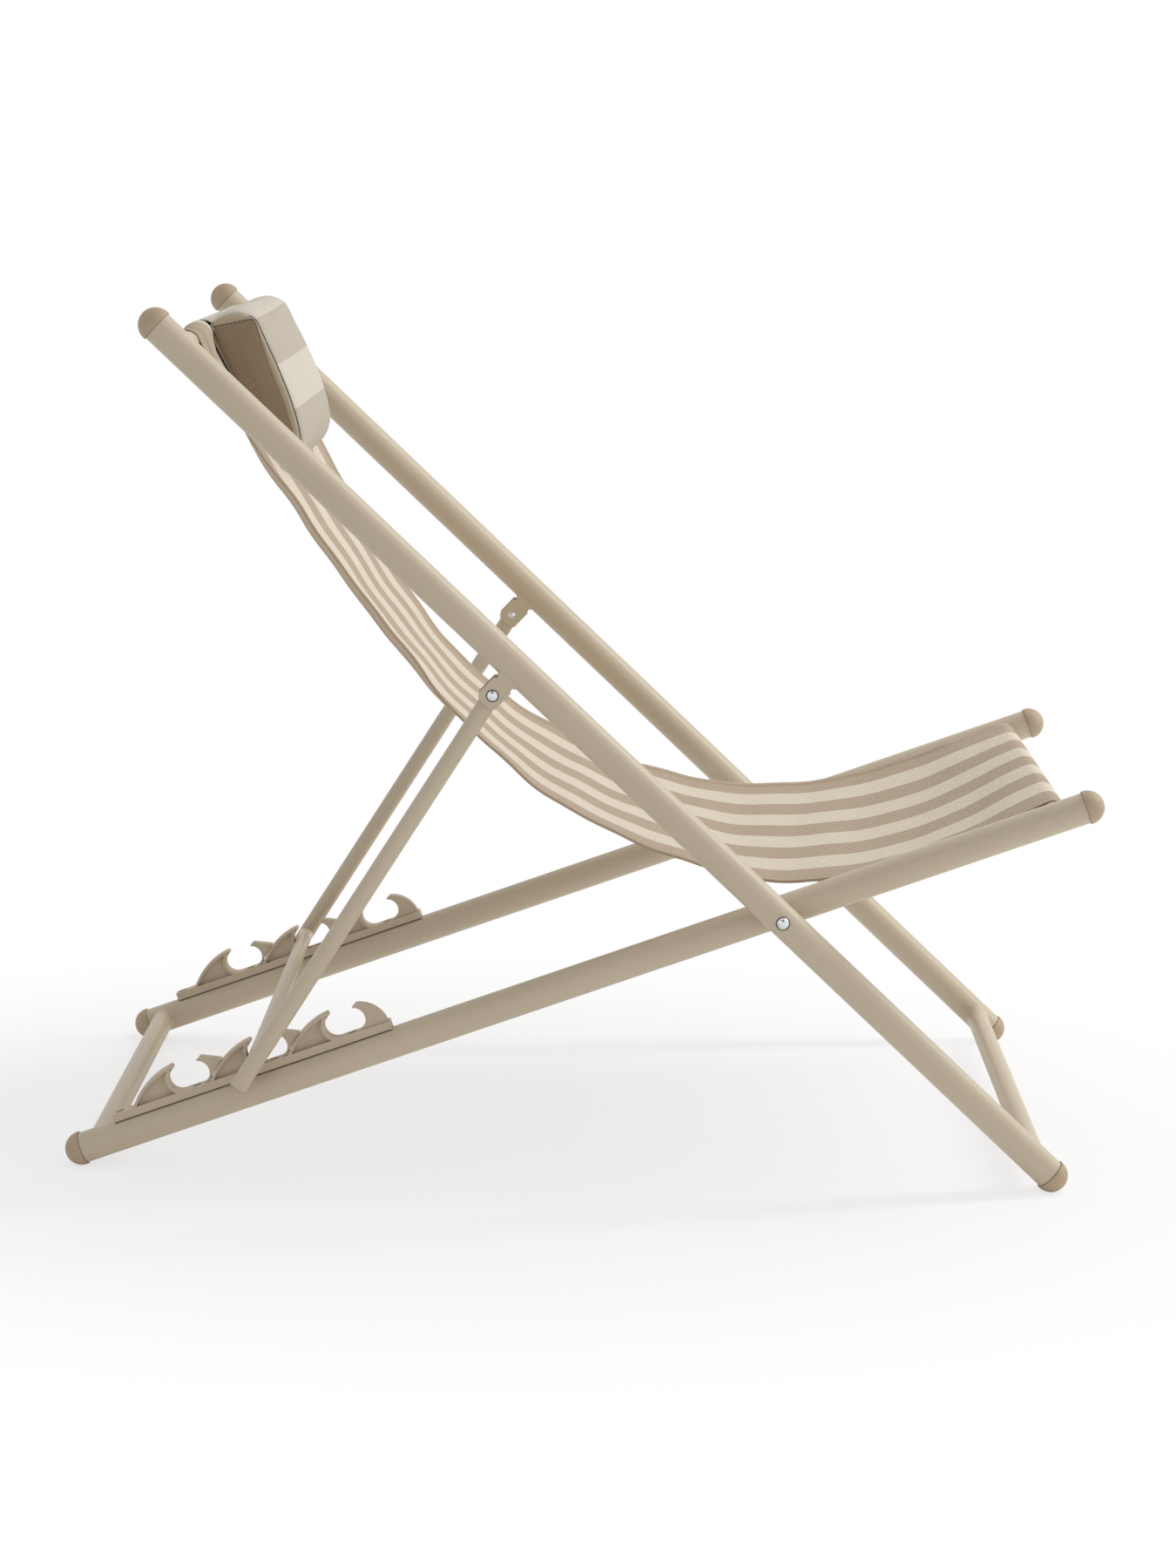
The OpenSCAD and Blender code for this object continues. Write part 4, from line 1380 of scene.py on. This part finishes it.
class LOUNGER_OT_sling(LoungerOperator, bpy.types.Operator):
    """Hangs the striped sling between the head bar and the front bar"""

    bl_idname = "lounger.sling"
    bl_label = "Sling"

    def execute(self, context):
        make_sling(context.scene.lounger_cloth, context.scene.lounger_finish)
        return {"FINISHED"}


class LOUNGER_OT_pillow(LoungerOperator, bpy.types.Operator):
    """Makes the wedge pillow and swells its cover"""

    bl_idname = "lounger.pillow"
    bl_label = "Head Pillow"

    def execute(self, context):
        scene = context.scene
        make_pillow(scene.lounger_cloth, scene.lounger_pillow, scene.lounger_finish)
        return {"FINISHED"}


class LOUNGER_OT_strap(LoungerOperator, bpy.types.Operator):
    """Lays the pillow's strap over the head bar"""

    bl_idname = "lounger.strap"
    bl_label = "Pillow Strap"

    def execute(self, context):
        scene = context.scene
        make_strap(scene.lounger_cloth, scene.lounger_pillow, scene.lounger_finish)
        return {"FINISHED"}


class LOUNGER_OT_stage(LoungerOperator, bpy.types.Operator):
    """Adds the pale floor, the soft light and the camera"""

    bl_idname = "lounger.stage"
    bl_label = "Stage"

    def execute(self, context):
        scene = context.scene
        stage = scene.lounger_stage
        scene.view_settings.view_transform = "Standard"
        self.add_floor()
        self.add_world(scene, stage.sky)
        self.add_light(stage)
        self.add_camera(scene, stage)
        return {"FINISHED"}

    def add_floor(self):
        """A pale floor that is lost in the white round about."""
        half, below = 2.7, -0.0002
        back, deep, aside, wide = 0.12, 0.98, 0.10, 0.74
        clear, blur = 0.50, 0.62
        paint = Paint("pale_floor")
        seen = paint.ray("Camera")
        x, y = paint.parts(paint.place(), "XY")
        far = (((x + back) / deep) ** 2 + ((y + aside) / wide) ** 2) ** 0.5
        fade = ((far - clear) / blur).most(0).least(1)
        paint.finish(base_color=paint.mix(seen, (0.88,) * 3, (0.30,) * 3),
                     roughness=0.9, specular_ior_level=0.0,
                     emission_color=paint.mix(seen, (0.12,) * 3, (0.66,) * 3),
                     emission_strength=1.0)
        white = paint.add("ShaderNodeEmission", {}, {"Color": (1, 1, 1, 1)})
        both = paint.add("ShaderNodeMixShader", {}, {
            0: seen * fade * fade * (3 - 2 * fade),
            1: Value(paint, paint.shader.outputs[0]), 2: white})
        paint.join(both, paint.tree.nodes["Material Output"].inputs[0])
        corners = [(x, y, below) for x, y in (
            (-half, -half), (half, -half), (half, half), (-half, half))]
        add_mesh("floor", corners, [(0, 1, 2, 3)], [paint.material], smooth=False)

    def add_world(self, scene, strength):
        """Light from all round, stronger from the front end, the left side and above."""
        world = bpy.data.worlds.new("surroundings")
        world.use_nodes = True
        scene.world = world
        sky = Nodes(world.node_tree)
        direction = sky.add("ShaderNodeTexCoord", {}, {}, "Generated")
        x, y, z = sky.parts(direction, "XYZ")
        level = strength * (1 + x * 0.35 + y * 0.20 + z * 0.05)
        camera, glossy, through = (sky.ray(kind) for kind in ("Camera", "Glossy", "Transmission"))
        seen = camera.most(glossy).most(through)
        card, darkness = (z * 0.82 - y * 0.56 - x * 0.08 - 0.86) * 9, 0.8
        dark_card = card.most(0).least(1) * glossy
        back = sky.tree.nodes["Background"]
        sky.join((1, 1, 1, 1), back.inputs["Color"])
        sky.join(seen * (1 - dark_card * darkness) + (1 - seen) * level, back.inputs["Strength"])

    def add_light(self, stage):
        """A long soft light high beyond the front end."""
        place, aim = Vector((2.3, 0.75, 2.35)), Vector((0, 0, 0.35))
        lamp = bpy.data.lights.new("strip_light", "AREA")
        lamp.shape = "RECTANGLE"
        lamp.size, lamp.size_y = 2.2, 0.5
        lamp.energy = stage.key_light
        light = bpy.data.objects.new("strip_light", lamp)
        back = (place - aim).normalized()
        side = Vector((0, 1, 0)).cross(back).normalized()
        light.matrix_world = Matrix.Translation(place) @ Matrix(
            (side, back.cross(side), back)).transposed().to_4x4()
        bpy.context.scene.collection.objects.link(light)

    def add_camera(self, scene, stage):
        """The camera that sees the right side and the front end."""
        lens = bpy.data.cameras.new("camera")
        lens.lens = stage.lens
        lens.sensor_width = 36
        camera = bpy.data.objects.new("camera", lens)
        scene.collection.objects.link(camera)
        ahead = Vector((math.sin(stage.heading) * math.cos(stage.tilt),
                        math.cos(stage.heading) * math.cos(stage.tilt), -math.sin(stage.tilt)))
        level = Vector((math.cos(stage.heading), -math.sin(stage.heading), 0))
        up = level.cross(ahead)
        right = level * math.cos(stage.roll) + up * math.sin(stage.roll)
        top = up * math.cos(stage.roll) - level * math.sin(stage.roll)
        turn = Matrix((right, top, -ahead)).transposed().to_4x4()
        camera.matrix_world = Matrix.Translation(stage.camera) @ turn
        scene.camera = camera


class LOUNGER_PT_parts(bpy.types.Panel):
    """Buttons and settings of the lounger"""

    bl_label = "Sun Lounger"
    bl_space_type = "VIEW_3D"
    bl_region_type = "UI"
    bl_category = "Lounger"

    def draw(self, context):
        layout = self.layout
        for operator in OPERATORS:
            layout.operator(operator.bl_idname)
        for name in SETTINGS:
            group = getattr(context.scene, name)
            box = layout.box()
            for key in group.__annotations__:
                box.prop(group, key)


OPERATORS = (LOUNGER_OT_finishes, LOUNGER_OT_welds, LOUNGER_OT_shade_rings, LOUNGER_OT_sling,
             LOUNGER_OT_pillow, LOUNGER_OT_strap, LOUNGER_OT_stage)
SETTINGS = {
    "lounger_cloth": ClothSettings,
    "lounger_pillow": PillowSettings,
    "lounger_finish": FinishSettings,
    "lounger_stage": StageSettings,
}
CLASSES = (*SETTINGS.values(), *OPERATORS, LOUNGER_PT_parts)


def register():
    """Makes the operators, the panel and the settings known to Blender."""
    for item in CLASSES:
        bpy.utils.register_class(item)
    for name, group in SETTINGS.items():
        setattr(bpy.types.Scene, name, PointerProperty(type=group))


def unregister():
    """Takes them away again."""
    for name in SETTINGS:
        delattr(bpy.types.Scene, name)
    for item in reversed(CLASSES):
        bpy.utils.unregister_class(item)


def main():
    """Makes every piece in order."""
    register()
    for name in ("finishes", "welds", "gaskets", "sling", "pillow", "strap", "stage"):
        getattr(bpy.ops.lounger, name)()


if __name__ == "__main__":
    main()
